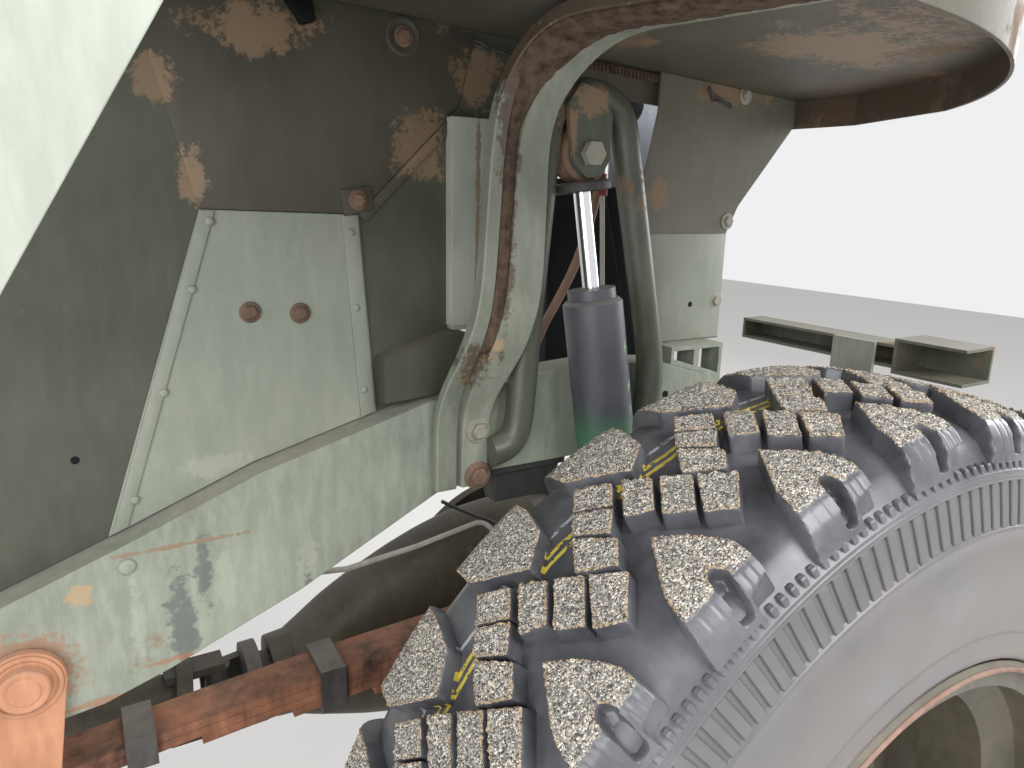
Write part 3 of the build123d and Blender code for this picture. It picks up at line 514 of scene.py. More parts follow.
def outlineBlock(name, outline, bottom, top, flare=1.0, place=None):
    piece = drawOutline(name, [(x / 1000, y / 1000, top / 1000) for x, y in outline])
    pullOut(0, 0, (bottom - top) / 1000)
    middle = sum((Vector((x, y, 0)) for x, y in outline), Vector()) / len(outline) / 1000
    for vertex in piece.data.vertices:
        if vertex.select:
            vertex.co.x = middle.x + (vertex.co.x - middle.x) * flare
            vertex.co.y = middle.y + (vertex.co.y - middle.y) * flare
    fixNormals(piece)
    if place:
        for vertex in piece.data.vertices:
            vertex.co = place(vertex.co)
    return piece


def cutAway(piece, cutter):
    applyModifier(piece, "BOOLEAN", operation="DIFFERENCE", object=cutter, solver="EXACT")
    bpy.data.objects.remove(cutter)


def joinPieces(name, parts):
    clearSelection()
    for part in parts:
        part.select_set(True)
    bpy.context.view_layer.objects.active = parts[0]
    bpy.ops.object.join()
    parts[0].name = name
    return parts[0]


def copyPiece(piece, name):
    copy = bpy.data.objects.new(name, piece.data.copy())
    bpy.context.scene.collection.objects.link(copy)
    return copy


def pointsOf(piece):
    found = np.empty(len(piece.data.vertices) * 3)
    piece.data.vertices.foreach_get("co", found)
    return found.reshape(-1, 3)


def movePoints(piece, places):
    piece.data.vertices.foreach_set("co", places.ravel())
    piece.data.update()


def keepAttribute(piece, name, values):
    made = piece.data.attributes.new(name, "FLOAT", "POINT")
    made.data.foreach_set("value", values.astype(np.float32))


def smoothFaces(piece, angle):
    pickOnly(piece)
    bpy.ops.object.shade_smooth_by_angle(angle=math.radians(angle))
    return piece


def finishPiece(piece, material, body):
    piece.data.materials.clear()
    piece.data.materials.append(material)
    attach(piece, body)


# tread: a flat place is along the tread, across it and height, and is then wrapped on the wheel
treadLook = {
    "pitches": 27,
    "firstAngle": -5.6,
    "rollRadius": 404,
    "crown": [(0, 402.6), (30, 401.8), (58, 399.6), (74, 397.4), (83, 395.2), (90, 390.4), (95.5, 383.5),
              (99, 375), (101, 367), (102, 360), (102.6, 348)],  # across, radius
    "crownSteps": 6,
    "crownSmoothing": 3,
    "voxel": 1.6,
    "blockDepth": 15,
    "root": 3,  # a block goes this far below the groove's floor
    "open": 0.6,  # and is open at its bottom, this far below the floor
    "wallBand": (-4.5, -2.2),  # heights of the wall that stands for a block's edge
    "edgeWide": 4.5,
    "topStart": 1.6,  # sand starts this far below the top, and is full after topSoft
    "topSoft": 1.2,
    "sandWide": 92,  # and reaches this far across the tread
    "sandFade": 8,
    "grainRise": 1.5,
    "grainSink": 0.9,
    "clumpRise": 1.3,
    "sideways": 0.5,
    "seed": 7,
}


def smoothed(table, turns):
    for turn in range(turns):
        table[1:-1] = (table[:-2] + table[1:-1] * 2 + table[2:]) / 4
    return table


def crownCurve(look):
    half = np.array(look["crown"], float)
    steps = look["crownSteps"]
    spans = [np.linspace(one, two, steps, endpoint=False) for one, two in zip(half[:-1], half[1:])]
    fine = np.concatenate(spans + [half[-1:]])
    whole = smoothed(np.concatenate([fine[:0:-1] * (-1, 1), fine]), look["crownSmoothing"])
    along = np.concatenate([[0], np.cumsum(np.hypot(*np.diff(whole, axis=0).T))])
    along -= along[-1] / 2
    slope = np.gradient(whole, along, axis=0)
    slope /= np.linalg.norm(slope, axis=1)[:, None]
    return along, whole, np.stack([-slope[:, 1], slope[:, 0]], axis=1)


crownAlong, crownPlace, crownOut = crownCurve(treadLook)


def wrapOnWheel(flat, startAngle):
    along = flat[:, 1] * 1000
    across, radius = (
        np.interp(along, crownAlong, place) + np.interp(along, crownAlong, out) * flat[:, 2] * 1000
        for place, out in zip(crownPlace.T, crownOut.T)
    )
    angle = flat[:, 0] * 1000 / treadLook["rollRadius"] + startAngle
    places = np.stack([np.sin(angle) * radius, across, np.cos(angle) * radius], axis=1)
    return places / 1000 + np.array(wheelCentre)


def openBottom(block, look):
    pickOnly(block)
    editAll("DESELECT")
    endEdit()
    for face in block.data.polygons:
        face.select = face.center.z < -(look["blockDepth"] + look["open"]) / 1000
    bpy.ops.object.mode_set(mode="EDIT")
    bpy.ops.mesh.delete(type="FACE")
    endEdit()


# 1 at a block's edge, down to 0 further in, from the nearest point of its walls
def nearEdge(flat, look):
    low, high = look["wallBand"]
    walls = flat[(flat[:, 2] < high / 1000) & (flat[:, 2] > low / 1000)]
    near = kdtree.KDTree(len(walls))
    for number, (x, y, z) in enumerate(walls):
        near.insert((x, y, 0), number)
    near.balance()
    gap = np.array([near.find((x, y, 0))[2] for x, y, z in flat]) * 1000
    return np.clip(1 - gap / look["edgeWide"], 0, 1)


# one pitch of blocks, copied round the wheel with its own sand on each copy
def repeatRound(name, parts, look):
    for part in parts:
        applyModifier(part, "REMESH", mode="VOXEL", voxel_size=look["voxel"] / 1000)
    block = joinPieces(name, parts)
    openBottom(block, look)
    flat = pointsOf(block)
    x, y, z = flat.T
    edge = nearEdge(flat, look)
    top = np.clip((z * 1000 + look["topStart"]) / look["topSoft"], 0, 1)
    top = top * np.clip((look["sandWide"] - np.abs(y * 1000)) / look["sandFade"], 0, 1)
    copies = []
    for pitch in range(look["pitches"]):
        copy = copyPiece(block, f"{name}{pitch}")
        rng = np.random.RandomState(look["seed"] + pitch * 31 + len(name))
        moved = flat.copy()
        clumps = np.clip(np.sin(x * 410 + pitch * 1.7) * np.sin(y * 370 + pitch * 2.9), 0, 1) * edge
        grains = rng.rand(len(flat)) ** 2 * look["grainRise"] - look["grainSink"] + clumps * look["clumpRise"]
        moved[:, 2] += top * grains / 1000
        moved[:, :2] += (rng.rand(len(flat), 2) - 0.5) * top[:, None] * look["sideways"] / 1000
        lump = np.sin(x * 620 + pitch * 2.1) * np.sin(y * 480 + pitch * 1.3) * 0.5 + 0.5
        start = math.radians(look["firstAngle"] + pitch * 360 / look["pitches"])
        movePoints(copy, wrapOnWheel(moved, start))
        keepAttribute(copy, "sand", np.clip(top * (0.82 + 0.18 * lump), 0, 1))
        keepAttribute(copy, "edge", edge * top)
        copies.append(copy)
    bpy.data.objects.remove(block)
    return smoothFaces(joinPieces(name, copies), 60)


# a slit across a lug, from its inner end to past the tread's edge
def slit(middle, width, inner, outer):
    left, right = middle - width / 2, middle + width / 2
    return [(left, inner), (right, inner), (right, outer), (left, outer)]


def roundSlot(middle, inner, halfWide, reach):
    turns = [math.radians(a) for a in range(0, 181, 20)]
    return [(middle + halfWide * math.cos(a), inner + reach * math.sin(a)) for a in turns]


# blocks are forward and across the tread. A lug has cuts in its top too, each an outline and a depth
shoulderLug = {
    "outline": [(0, -35), (14, -52), (22, -66), (26.5, -76), (27, -98), (27, -119), (-35, -119), (-32, -98),
                (-28, -80), (-24, -68)],
    "cuts": [
        (roundSlot(2.5, -87, 5.8, 9) + [(-6, -113), (4.5, -113)], 12),
        (slit(-11, 1.6, -84, -130), 2.6), (slit(-20.5, 1.6, -87, -130), 2.6),
        (slit(13, 2, -84, -130), 3), (slit(19.5, 2, -86, -130), 3),
        ([(9, -104), (32, -98), (32, -130), (9, -130)], 5.5),
        ([(6.2, -43), (7.4, -43), (9.4, -53), (8.2, -53)], 5),
    ],
}
innerLug = {
    "outline": [(35, 20), (59, 38), (66, 68), (66, 98), (66, 119), (3, 119), (3, 98), (3, 60), (12, 48),
                (24, 33)],
    "cuts": [
        (slit(18, 2.6, 84, 130), 3.2), (slit(33, 2.6, 84, 130), 3.2), (slit(48, 2.6, 84, 130), 3.2),
        ([(38, 52), (39.4, 52), (45, 78), (43.6, 78)], 4),
    ],
}
rowBlocks = [
    [(24, 18.5), (36.6, 1.4), (17, -21.6), (1.6, -9.2)],
    [(40, -2.2), (52.6, -19.2), (30, -43.8), (16.6, -28.2)],
    [(54, -21), (69.6, -41), (47, -62.6), (31.6, -48.4)],
]
columnBlocks = [
    [(96, 43.5), (113.5, 23), (99.4, 5.4), (81, 27.6)],
    [(79.6, 26), (98.2, 3.6), (82.6, -11), (67.6, 11.4)],
    [(66.4, 9.8), (83, -17.6), (69, -33.4), (49.6, -12.2)],
]


def treadBlock(outline, flare):
    return outlineBlock("block", outline, -treadLook["blockDepth"] - treadLook["root"], 0, flare)


def carvedLug(look):
    lug = treadBlock(look["outline"], 1.06)
    for outline, depth in look["cuts"]:
        cutAway(lug, outlineBlock("cutter", outline, -depth, 5))
    return lug


carcassLook = {  # across and radius, from the tread's middle over the side to the inside
    "floor": [(0, 388.6), (30, 388.2), (60, 386.4), (78, 382.8), (88, 377.5), (94, 370)],
    "side": [(96.5, 367), (98, 365.4), (100.4, 363.2), (102.4, 361.8), (103.4, 360.4), (103.4, 359.2),
             (102.9, 358.6), (103.6, 358), (104.2, 355.6), (103.8, 354.4), (101.8, 353.6), (103, 350),
             (108.2, 326), (109.4, 324.8), (110.6, 324.2), (111.2, 323), (111.3, 320.8), (110.9, 319.6),
             (112.2, 312), (114.6, 300), (115.4, 288), (114.6, 270), (113, 256), (111.8, 247), (111.2, 244),
             (110.4, 243.4), (109.8, 242.2), (110, 234), (110.8, 228), (110.6, 224.2), (108.8, 222.3),
             (105, 220.4), (102, 217.4), (101.5, 204)],
    "inside": [(82, 203.6), (97, 230), (103.5, 292), (94, 340), (78, 366), (0, 374)],
    "steps": 324,
}


def tyreCarcass(look):
    half = look["floor"][1:] + look["side"] + look["inside"][:-1]
    other = [(-across, radius) for across, radius in half[::-1]]
    outline = [look["floor"][0]] + half + [look["inside"][-1]] + other
    places = [fromWheel((0, across, radius)) for across, radius in outline]
    carcass = drawOutline("tyreCarcass", places, "NOTHING")
    editAll()
    bpy.ops.mesh.spin(steps=look["steps"], dupli=False, angle=math.tau, center=wheelCentre, axis=(0, 1, 0))
    endEdit()
    fixNormals(carcass)
    return smoothFaces(carcass, 50)


sidewallLook = {  # count round the wheel, width, and section as across and radius
    "ribs": (182, 7.6, [(101.4, 354.2), (103.9, 354.6), (104.8, 350), (107.6, 338), (110.4, 325),
                        (108.2, 323.4)]),
    "teeth": (270, 4.2, [(95, 365), (99.5, 361.6), (102.4, 361.6), (102, 364.6), (100.6, 367.4),
                         (97, 368.4)]),
    "softEdge": 0.6,
}


def sidewallPattern(look):
    made = []
    for count, wide, section in (look["ribs"], look["teeth"]):
        places = [Vector((-wide / 2, -across, radius)) / 1000 for across, radius in section]
        one = drawOutline("oneRib", places)
        pullOut(wide / 1000, 0, 0)
        fixNormals(one)
        applyModifier(one, "BEVEL", width=look["softEdge"] / 1000, segments=1, limit_method="ANGLE")
        x, y, z = pointsOf(one).T
        for side in (1, -1):
            for number in range(count):
                copy = copyPiece(one, "rib")
                angle = (number + 0.5) * math.tau / count
                cos, sin = math.cos(angle), math.sin(angle)
                turned = np.stack([x * cos + z * sin, y * side, z * cos - x * sin], axis=1)
                movePoints(copy, turned + np.array(wheelCentre))
                if side < 0:
                    copy.data.flip_normals()
                made.append(copy)
        bpy.data.objects.remove(one)
    return joinPieces("sidewallPattern", made)


tyreParts = [
    repeatRound("treadShoulder", [carvedLug(shoulderLug)], treadLook),
    repeatRound("treadRow", [treadBlock(outline, 1.13) for outline in rowBlocks], treadLook),
    repeatRound("treadColumn", [treadBlock(outline, 1.11) for outline in columnBlocks], treadLook),
    repeatRound("treadInner", [carvedLug(innerLug)], treadLook),
    tyreCarcass(carcassLook),
    sidewallPattern(sidewallLook),
]
for piece in tyreParts:
    finishPiece(piece, materials["tyreRubber"], "wheel")
    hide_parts("tyre")
    print("tyre piece", piece.name, len(piece.data.polygons))


# a sheet or strip: its outline is forward and up, and it lies between two places across
def sidePlate(name, outline, outer, inner, soft=0.6):
    piece = outlineBlock(name, outline, outer, inner, place=lambda co: wheelCentre + co.xzy)
    fixNormals(piece)
    applyModifier(piece, "BEVEL", width=soft / 1000, segments=2, limit_method="ANGLE")
    return smoothFaces(piece, 35)


# a grid whose columns and rows are put in place one by one
def gridPiece(name, columns, rows, placeOf):
    clearSelection()
    spans = rows - 1
    bpy.ops.mesh.primitive_grid_add(x_subdivisions=columns, y_subdivisions=spans, size=1, location=(0, 0, 0))
    piece = bpy.context.object
    piece.name = name
    for vertex in piece.data.vertices:
        vertex.co = placeOf(round((vertex.co.x + 0.5) * columns), round((vertex.co.y + 0.5) * spans))
    fixNormals(piece)
    return piece


# a turned piece: its profile is along the axis and radius
def lathe(name, profile, place, direction=(0, -1, 0), sides=28):
    turn = Vector(direction).to_track_quat("Z", "Y").to_matrix().to_4x4()
    toPlace = Matrix.Translation(fromWheel(place)) @ turn

    def placeOf(column, row):
        angle = column * math.tau / sides
        along, radius = profile[row]
        return toPlace @ (Vector((math.cos(angle) * radius, math.sin(angle) * radius, along)) / 1000)

    return smoothFaces(gridPiece(name, sides, len(profile), placeOf), 35)


def loftRings(name, rings, smooth):
    around = len(rings[0])
    piece = gridPiece(name, around, len(rings), lambda column, row: rings[row][column % around])
    editAll()
    bpy.ops.mesh.fill_holes(sides=0)
    endEdit()
    fixNormals(piece)
    return smoothFaces(piece, smooth)


def bolt(name, place, radius):
    washer = [(0, 0), (0, radius * 1.45), (1.2, radius * 1.5), (1.8, radius * 1.4), (1.8, 0)]
    head = [(1, 0), (1, radius), (radius * 0.75, radius), (radius * 0.9, radius * 0.82), (radius * 0.9, 0)]
    return joinPieces(name, [lathe(name, washer, place), lathe(name, head, place, sides=6)])


def dome(name, place, radius):
    turns = [math.radians(a) for a in range(0, 91, 15)]
    cap = [(radius * 0.5 * math.sin(a), radius * math.cos(a)) for a in turns]
    return lathe(name, [(0, 0)] + cap, place, sides=20)


# a route has five points or more, because the new path already has five
def cord(name, route, radius, fineness=4):
    clearSelection()
    bpy.ops.curve.primitive_nurbs_path_add(location=(0, 0, 0))
    piece = bpy.context.object
    piece.name = name
    path = piece.data.splines[0]
    path.points.add(len(route) - len(path.points))
    for point, place in zip(path.points, route):
        point.co = (*fromWheel(place), 1)
    path.use_endpoint_u = True
    path.order_u = 3
    piece.data.bevel_depth = radius / 1000
    piece.data.bevel_resolution = fineness
    piece.data.use_fill_caps = True
    pickOnly(piece)
    bpy.ops.object.convert(target="MESH")
    return smoothFaces(bpy.context.object, 60)


panelTrim = {
    "sheets": [  # name, finish, outer and inner face across, outline
        ("upperSheet", "sheetBrown", 313.4, 314.9,
         [(-395, 515.4), (-264, 512.6), (-167, 608.7), (-148, 674), (-437, 690)]),
        ("seamStrip", "sheetBrown", 312.2, 314.9,
         [(-264, 512), (-257.5, 505.6), (-159.5, 602), (-166, 608.7)]),
        ("rearStrip", "plateGreen", 311.4, 312.9,
         [(-394.5, 514.5), (-383.5, 514), (-469, 258.6), (-481.5, 253.8)]),
        ("frontStrip", "plateGreen", 311.4, 312.9,
         [(-279.5, 511), (-265, 511.6), (-253.6, 331.6), (-267.5, 326)]),
        ("lowerApron", "plateGreen", 313.4, 314.9,
         [(58.5, 494.5), (58.5, 481), (91, 370.5), (189.6, 370.5), (189.6, 494.5)]),
    ],
    "rows": [  # name, shape of each, finish, place across, radius, places forward and up
        ("plateRivets", dome, "plateGreen", 311.5, 3.6,
         [(-388, 506), (-405.5, 452), (-433, 369), (-462, 281), (-272, 497), (-269, 430), (-264, 353)]),
        ("plateBolts", bolt, "boltRust", 313, 6, [(-361.3, 431), (-319.5, 428)]),
        ("apronBolts", bolt, "boltPale", 314.9, 6.4, [(201.9, 650), (190, 509), (182, 415)]),
    ],
}


def makePanelTrim(look):
    made = []
    for name, finish, outer, inner, outline in look["sheets"]:
        made.append((sidePlate(name, outline, outer, inner), finish))
    for name, shape, finish, across, radius, places in look["rows"]:
        row = [shape("fastener", (x, across, z), radius) for x, z in places]
        made.append((joinPieces(name, row), finish))
    return made


fixings = {  # plates: outline, outer and inner face across, and how soft the edges are
    "footBolts": [((-162.8, 274.8, 309.8), 8.5, "boltPale"), ((-163.4, 274.8, 263.5), 9.5, "boltRust")],
    "cageRing": (-219.3, 314.4, 663),
    "ring": [(0, 17), (2, 16), (2.6, 14), (1.2, 12), (1, 0)],
    "cagePlate": ([(-280, 533), (-252, 537), (-249, 516), (-277, 511)], 311.6, 313.6, 0.8),
    "cagePlateBolt": (-264.5, 311.8, 524.5),
    "holes": [((-500.6, 314.9, 321), 3.2), ((140, 313.3, 412.7), 3.2), ((84.7, 284.9, 315.6), 4.2),
              ((-330, 314.9, 262), 2.6)],
    "clip": ([(-322, 679), (-299, 679), (-297, 664), (-309, 660)], 306, 313.4, 1.5),
    "railDome": ((-473.5, 285, 236), 7),
    "channelFoot": ([(-177, 404.6), (-122, 404.6), (-122, 410), (-177, 410)], 303, 314.9),
}


def makeFixings(look):
    made = [(bolt("footBolt", place, size), finish) for place, size, finish in look["footBolts"]]
    made.append((lathe("cageRing", look["ring"], look["cageRing"]), "sheetBrown"))
    made.append((bolt("cageBolt", Vector(look["cageRing"]) + Vector((0, -1, 0)), 6), "boltRust"))
    made.append((sidePlate("cagePlate", *look["cagePlate"]), "sheetBrown"))
    made.append((bolt("cagePlateBolt", look["cagePlateBolt"], 6), "boltRust"))
    # each hole is a thin black disc on the face: painted shade for the hole's dark inside
    holes = []
    for place, size in look["holes"]:
        holes.append(lathe("hole", [(0, 0), (0.1, size), (0.3, size), (0.3, 0)], place))
    made.append((joinPieces("holeShadeDiscs", holes), "blackPaint"))
    made.append((sidePlate("wedgeClip", *look["clip"]), "blackPaint"))
    made.append((dome("railDome", *look["railDome"]), "railGreen"))
    made.append((sidePlate("channelFoot", *look["channelFoot"]), "plateGreen"))
    return made


shockTrim = {  # cords: route and radius
    "bushPlace": (-60, 284, 571),
    "bush": [(0, 15), (0, 22), (2.5, 25.5), (6, 26), (7.5, 23.5), (9, 26), (18, 26), (19.5, 23.5), (21, 26),
             (24.5, 25.5), (27, 22), (27, 15)],
    "rodTop": (-60, 270.4, 571),
    "rodLine": (0.1127, -0.0813, -0.9903),
    "washer": [(25, 9), (25, 24.6), (27, 28), (31, 29), (34, 28.6), (35, 27), (33, 20), (32.5, 9)],
    "whiteRod": ([(-8, 300, 548), (-5, 300, 500), (-2, 300, 450), (1, 300, 400), (4, 300, 358)], 2.6),
    "hose": ([(46, 372, 606), (40, 366, 560), (27, 360, 520), (14, 360, 480), (0, 360, 448),
              (-22, 360, 412), (-38, 360, 388), (-52, 362, 352)], 5.2),
    "fittingPlace": (-8, 300, 534),
    "fitting": [(0, 0), (0, 6), (12, 6), (14, 4.5), (22, 4.5), (22, 0)],
}


def makeShockTrim(look):
    return [
        (lathe("bush", look["bush"], look["bushPlace"], sides=40), "boltRust"),
        (lathe("washer", look["washer"], look["rodTop"], look["rodLine"], 40), "darkSteel"),
        (cord("whiteRod", *look["whiteRod"]), "brightSteel"),
        (cord("bayHose", *look["hose"]), "hoseBrown"),
        (lathe("fitting", look["fitting"], look["fittingPlace"], (0, 0, 1), 12), "redLead"),
    ]


bayTrim = {
    "lamp": [(0, 0), (0, 15), (6, 22), (20, 23), (26, 18), (28, 0)],
    "lampPlace": (88, 404, 640),
    "redStrip": ([(19, 640), (30, 640), (30, 661), (19, 661)], 357, 361),
    "ribbedStrip": ([(-33, 660), (78, 653.8), (78, 661.5), (-33, 667.6)], 320, 323),
    "ribs": 22,
    "ribStart": -30,
    "ribPitch": 5,
    "ribWide": 2.4,
    "ribLow": 8,  # below the strip's top edge
    "ribHigh": 1,
    "ribFaces": (318.4, 320.4, 0.5),
    "stripEnd": (-33, 667),
    "stripFall": 0.056,  # towards the front
    # a black sheet of painted shade, below the bay's pale panel
    "shade": ([(62, 332), (168, 332), (168, 546), (66, 546)], 405, 409),
}


def makeBayTrim(look):
    lamp = lathe("bayLamp", look["lamp"], look["lampPlace"])
    red = sidePlate("redStrip", *look["redStrip"])
    parts = [sidePlate("ribbedStrip", *look["ribbedStrip"])]
    endX, endZ = look["stripEnd"]
    for number in range(look["ribs"]):
        left = look["ribStart"] + number * look["ribPitch"]
        right = left + look["ribWide"]
        edge = endZ - (left - endX) * look["stripFall"]
        low, high = edge - look["ribLow"], edge - look["ribHigh"]
        rib = [(left, low), (right, low), (right, high), (left, high)]
        parts.append(sidePlate("rib", rib, *look["ribFaces"]))
    strip = joinPieces("ribbedStrip", parts)
    # painted shade: a black sheet that darkens the bay below its pale panel, where the bay lies in shadow
    shade = sidePlate("bayPaintedShade", *look["shade"])
    return [(lamp, "blackPaint"), (red, "redLead"), (strip, "mudCake"), (shade, "blackPaint")]


drivelineTrim = {
    "joint": (-393.8, 452, -13.75),
    "line": (-0.9848, 0, 0.1736),
    "sleeve": [(193, 20.2), (193, 23), (196, 24), (200, 21.4), (238, 21), (239, 20.2)],
    "capPlace": (-393.8, 413, -13.75),
    "cap": [(0, 0), (0, 14), (2.4, 14), (3.4, 11), (3.4, 0)],
    "unionPlace": (-46, 405, 118),
    "unionLine": (-0.5, 0, 0.85),
    "union": [(0, 0), (0, 9), (10, 9), (12, 6), (20, 6), (20, 0)],
    "blackLine": ([(-150, 384, 192), (-128, 396, 176), (-100, 400, 158), (-78, 401, 148), (-58, 402, 132)],
                  2.2),
    "pinPlace": (-551, 277, 158),
    "pinHead": [(0, 0), (0, 26), (1.6, 25.6), (1.8, 22.5), (0.6, 21.4), (0.6, 18.4), (8, 17.6), (9.4, 16),
                (9.4, 12.6), (8.8, 11.6), (9.8, 10.4), (10.2, 0)],
}


def makeDrivelineTrim(look):
    sleeve = lathe("slipSleeve", look["sleeve"], look["joint"], look["line"], 36)
    cap = lathe("crossCap", look["cap"], look["capPlace"])
    union = lathe("pipeUnion", look["union"], look["unionPlace"], look["unionLine"], 6)
    pin = lathe("pinHead", look["pinHead"], look["pinPlace"], sides=40)
    line = cord("blackLine", *look["blackLine"])
    made = [(pin, "paleRust"), (sleeve, "redLead"), (cap, "boltRust"), (union, "boltRust")]
    return made + [(line, "blackRubber")]


splitPins = [  # wire radius and route: one on the apron, two at the bracket
    (1.4, [(152, 315, 640), (146, 311, 648), (139, 309, 655), (141, 308, 647), (160, 308, 642),
           (177, 309, 633), (170, 309, 641), (153, 314, 641)]),
    (1.3, [(-152, 311, 668), (-141, 306, 664), (-138, 304, 656), (-146, 305, 661), (-152, 311, 664)]),
    (1.3, [(-128, 311, 666), (-118, 306, 662), (-114, 304, 654), (-122, 305, 659), (-128, 311, 662)]),
]

hoopLook = {  # forward and up along the tube, whose lower end sweeps in to the bracket's foot
    "route": [(-152, 287), (-136, 288), (-121, 302), (-117, 345), (-113, 411), (-99.7, 557), (-93, 626),
              (-14, 626), (1.3, 558.7), (34, 415), (52, 330), (40, 290)],
    "across": 270.4,
    "radius": 14.5,
    "fineness": 10,
}


def makeHoop(look):
    route = [(x, look["across"], z) for x, z in look["route"]]
    return cord("smoothHoop", route, look["radius"], look["fineness"])


# pressed bracket, drawn finer than the solid. Columns: x of its rear edge, y and z of its face, lean, width,
# depth, and where the gutter starts and ends across the width
bracketLook = {
    "sections": [
        (-207, 275, 253, 0, 56, 10, 22, 27), (-207, 275, 335, 0, 56, 10, 22, 27),
        (-203, 264, 358, 0, 64, 10, 20, 28), (-197, 249, 382, 0, 67, 10, 18, 30),
        (-186, 242, 408, 0, 63, 14, 15, 28), (-180, 238, 440, 0, 64, 14, 14, 27),
        (-171, 236, 595, 0, 56, 14, 13, 26), (-161, 228, 634, 30, 66, 12, 13, 38),
        (-153, 207, 656, 60, 72, 9, 12, 46), (-149, 175, 664, 90, 70, 12, 10, 48),
        (-125, 108, 662.6, 90, 64, 12, 10, 46), (-84, -40, 660.3, 90, 60, 12, 10, 44),
    ],
    "fall": 0.056,
    "sheet": 3,
    "rows": 110,
    "mudRows": 150,
    "mudStart": 32,  # the first row that has mud
    "mudSeed": 11,
    "mudPoints": 14,
}


# rows at even steps along a table of sections, with the corners smoothed
def smoothTable(table, rows, turns=24):
    table = np.array(table, float)
    along = np.concatenate([[0], np.cumsum(np.linalg.norm(np.diff(table[:, :3], axis=0), axis=1))])
    fine = np.linspace(0, along[-1], rows)
    return smoothed(np.stack([np.interp(fine, along, column) for column in table.T], axis=1), turns)


# a section's outline is across the bracket and inward from its face
def placeOnBracket(look, row, outline):
    turn = math.radians(row[3])
    across = Vector((1, 0, -look["fall"] * math.sin(turn))).normalized()
    inward = Vector((0, -math.sin(turn), math.cos(turn))).cross(across)
    return [fromWheel(Vector(row[:3]) + across * a + inward * b) for a, b in outline]


def bracketRing(look, row):
    width, depth, start, end = row[4:]
    sheet = look["sheet"]
    floor = depth - sheet
    face = [(0, depth), (0, 1.2), (1.2, 0), (start - 2, 0), (start - 0.4, 1), (start + 0.8, floor - 1),
            (start + 2.2, floor), (end - 2.2, floor), (end - 0.8, floor - 1), (end + 0.4, 1), (end + 2, 0),
            (width - 1.2, 0), (width, 1.2), (width, depth)]
    back = [(width - sheet, depth), (width - sheet, sheet), (end + 1, sheet), (end, depth), (start, depth),
            (start - 1, sheet), (sheet, sheet), (sheet, depth)]
    return placeOnBracket(look, row, face + back)


def makeBracket(look):
    rings = [bracketRing(look, row) for row in smoothTable(look["sections"], look["rows"])]
    return loftRings("smoothBracket", rings, 38)


# the gutter's mud lies level with the face down the side and heaps over the edges round the bend
def gutterMud(look):
    rings = []
    rng = np.random.RandomState(look["mudSeed"])
    steps = np.linspace(0, 1, look["mudPoints"])
    for row in smoothTable(look["sections"], look["mudRows"])[look["mudStart"]:]:
        start, end = row[6:]
        heap = np.clip((row[2] - 590) / 50, 0, 1)
        low, high = start + 0.4 - heap * (start - 1), end - 0.4 + heap * 4
        top = 3.2 - heap * 5.6
        crust = top - np.sin(steps * math.pi) * (1 + heap * 1.6) + rng.rand(len(steps)) * 1.1 - 0.5
        line = [(low + (high - low) * step, b) for step, b in zip(steps, crust)]
        rings.append(placeOnBracket(look, row, line + [(high - 2, 8.5), (low + 2, 8.5)]))
    return loftRings("gutterMud", rings, 70)


# the case swells from the pinion's nose into the bell: along, top, bottom and half width of each section
housingLook = {
    "middle": 450,
    "sections": [(-316, 35, -57, 45), (-308, 41, -60, 46), (-296, 50, -66, 47), (-270, 70, -76, 49),
                 (-236, 90, -88, 51), (-188, 114, -102, 52), (-148, 130, -112, 53), (-98, 145, -124, 53),
                 (-50, 151, -130, 53), (0, 151, -130, 53)],
    "fullness": 2.6,  # 2 is an ellipse, and more is squarer
    "around": 56,
    "rows": 60,
    "smoothing": 3,
}


def fullRound(value, fullness):
    return math.copysign(abs(value) ** (2 / fullness), value)


def makePinionHousing(look):
    turns = [step * math.tau / look["around"] for step in range(look["around"])]
    section = [(fullRound(math.cos(turn), look["fullness"]), fullRound(math.sin(turn), look["fullness"]))
               for turn in turns]
    rings = []
    for x, top, bottom, half in smoothTable(look["sections"], look["rows"], look["smoothing"]):
        middle, rise = (top + bottom) / 2, (top - bottom) / 2
        rings.append([fromWheel((x, look["middle"] + a * half, middle + b * rise)) for a, b in section])
    return loftRings("pinionHousing", rings, 40)


trim = makePanelTrim(panelTrim) + makeFixings(fixings) + makeShockTrim(shockTrim) + makeBayTrim(bayTrim)
trim += makeDrivelineTrim(drivelineTrim)
pins = [cord("splitPin", route, radius) for radius, route in splitPins]
smoothHoop = makeHoop(hoopLook)
housing = makePinionHousing(housingLook)
smoothBracket = makeBracket(bracketLook)
trim += [
    (joinPieces("splitPins", pins), "darkSteel"),
    (housing, "axleGreen"),
    (smoothHoop, "hoopGreen"),
    (smoothBracket, "bracketGreen"),
    (gutterMud(bracketLook), "mudCake"),
]
for piece, finish in trim:
    finishPiece(piece, materials[finish], "chassis")
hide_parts("arch_bracket")
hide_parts("shock_hoop")

lipWear = {  # a worn edge on the rim's outer lip
    "profile": [(0, 213.8), (1, 214.4), (1.7, 215.4), (1.6, 216.6), (0.7, 217.6), (-0.6, 218), (-0.8, 216),
                (0, 213.8)],
    "across": -112.8,
    "sides": 180,
}
wornLip = lathe("lipWear", lipWear["profile"], (0, lipWear["across"], 0), sides=lipWear["sides"])
finishPiece(wornLip, materials["lipWorn"], "wheel")
print("trim", len(trim), "pieces")


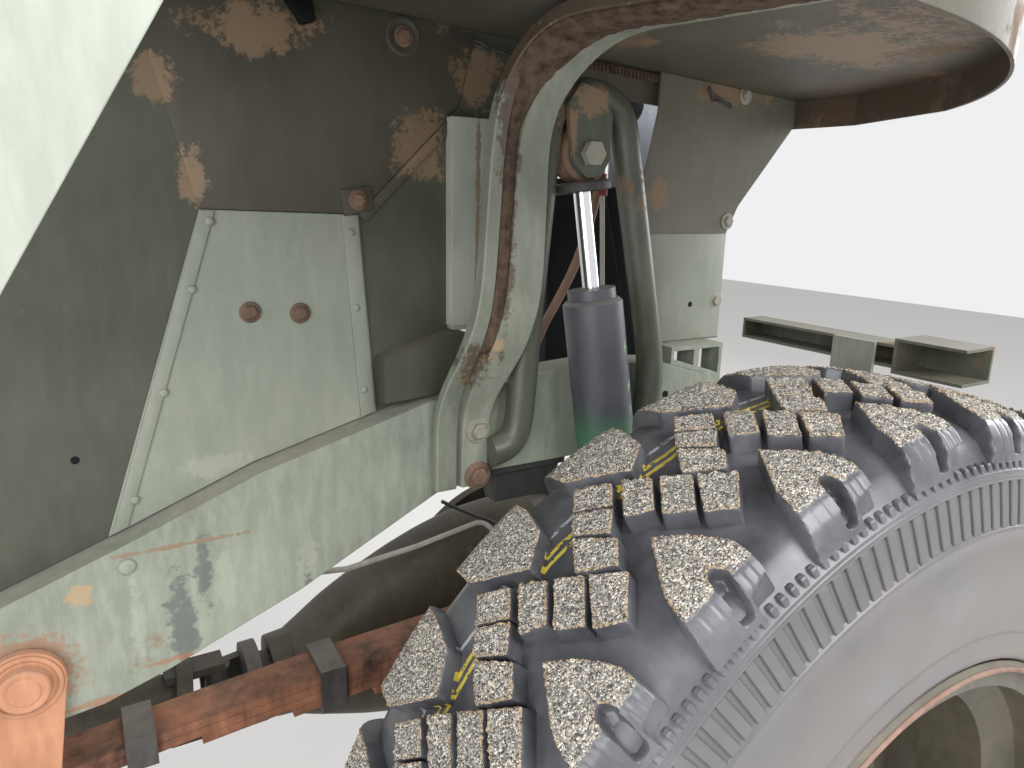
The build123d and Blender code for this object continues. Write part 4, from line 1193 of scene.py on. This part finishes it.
# floor, light and backdrop, in metres from the wheel's centre
studio = {
    "floorSize": 14,
    "floorBelow": 0.405,
    "floorTone": (0.72, 0.71, 0.69),
    "floorRough": 0.9,
    "worldTone": 0.62,
    "backdrop": (0.86, 0.87, 0.88),
    "lights": [  # name, place, aim, size, power
        ("keyLight", (0.9, -2.6, 2.6), (0.3, -0.1, 0), 2.2, 150),
        ("leftLight", (-2.2, -1.6, 0.9), (0, 0, 0.1), 1.8, 60),
        ("frontLight", (2.8, 0.2, 1.2), (0.2, 0.1, 0.1), 1.6, 60),
    ],
}


def makeFloor(look):
    place = (wheelCentre.x, wheelCentre.y, wheelCentre.z - look["floorBelow"])
    bpy.ops.mesh.primitive_plane_add(size=look["floorSize"], location=place)
    floor = bpy.context.object
    floor.name = "floor"
    mat, tree = startMaterial("floorMatt")
    shadeWith(tree, {"Base Color": rgba(look["floorTone"]), "Roughness": look["floorRough"]})
    floor.data.materials.append(mat)


def makeLights(look):
    for name, place, aim, size, power in look["lights"]:
        light = bpy.data.lights.new(name, "AREA")
        light.size = size
        light.energy = power
        lamp = bpy.data.objects.new(name, light)
        bpy.context.scene.collection.objects.link(lamp)
        start = wheelCentre + Vector(place)
        lamp.location = start
        lamp.rotation_euler = (wheelCentre + Vector(aim) - start).to_track_quat("-Z", "Y").to_euler()


# the backdrop's colour shows to the camera, in gloss and through glass, and the softer tone lights the object
def makeWorld(look):
    world = bpy.data.worlds.new("studioWorld")
    bpy.context.scene.world = world
    world.use_nodes = True
    tree = world.node_tree
    tree.nodes.clear()
    rays = addNode(tree, "ShaderNodeLightPath").outputs
    seen = mathNode(tree, "MAXIMUM", rays["Is Glossy Ray"], rays["Is Transmission Ray"])
    seen = mathNode(tree, "MAXIMUM", rays["Is Camera Ray"], seen)
    tone = look["worldTone"]
    lit = addNode(tree, "ShaderNodeBackground", {"Color": (tone, tone, tone * 1.02, 1)})
    shown = addNode(tree, "ShaderNodeBackground", {"Color": rgba(look["backdrop"])})
    mixed = addNode(tree, "ShaderNodeMixShader", {0: seen, 1: lit.outputs[0], 2: shown.outputs[0]})
    addNode(tree, "ShaderNodeOutputWorld", {"Surface": mixed.outputs[0]})


makeFloor(studio)
makeLights(studio)
makeWorld(studio)
bpy.context.scene.view_settings.view_transform = "Standard"
print("studio set")
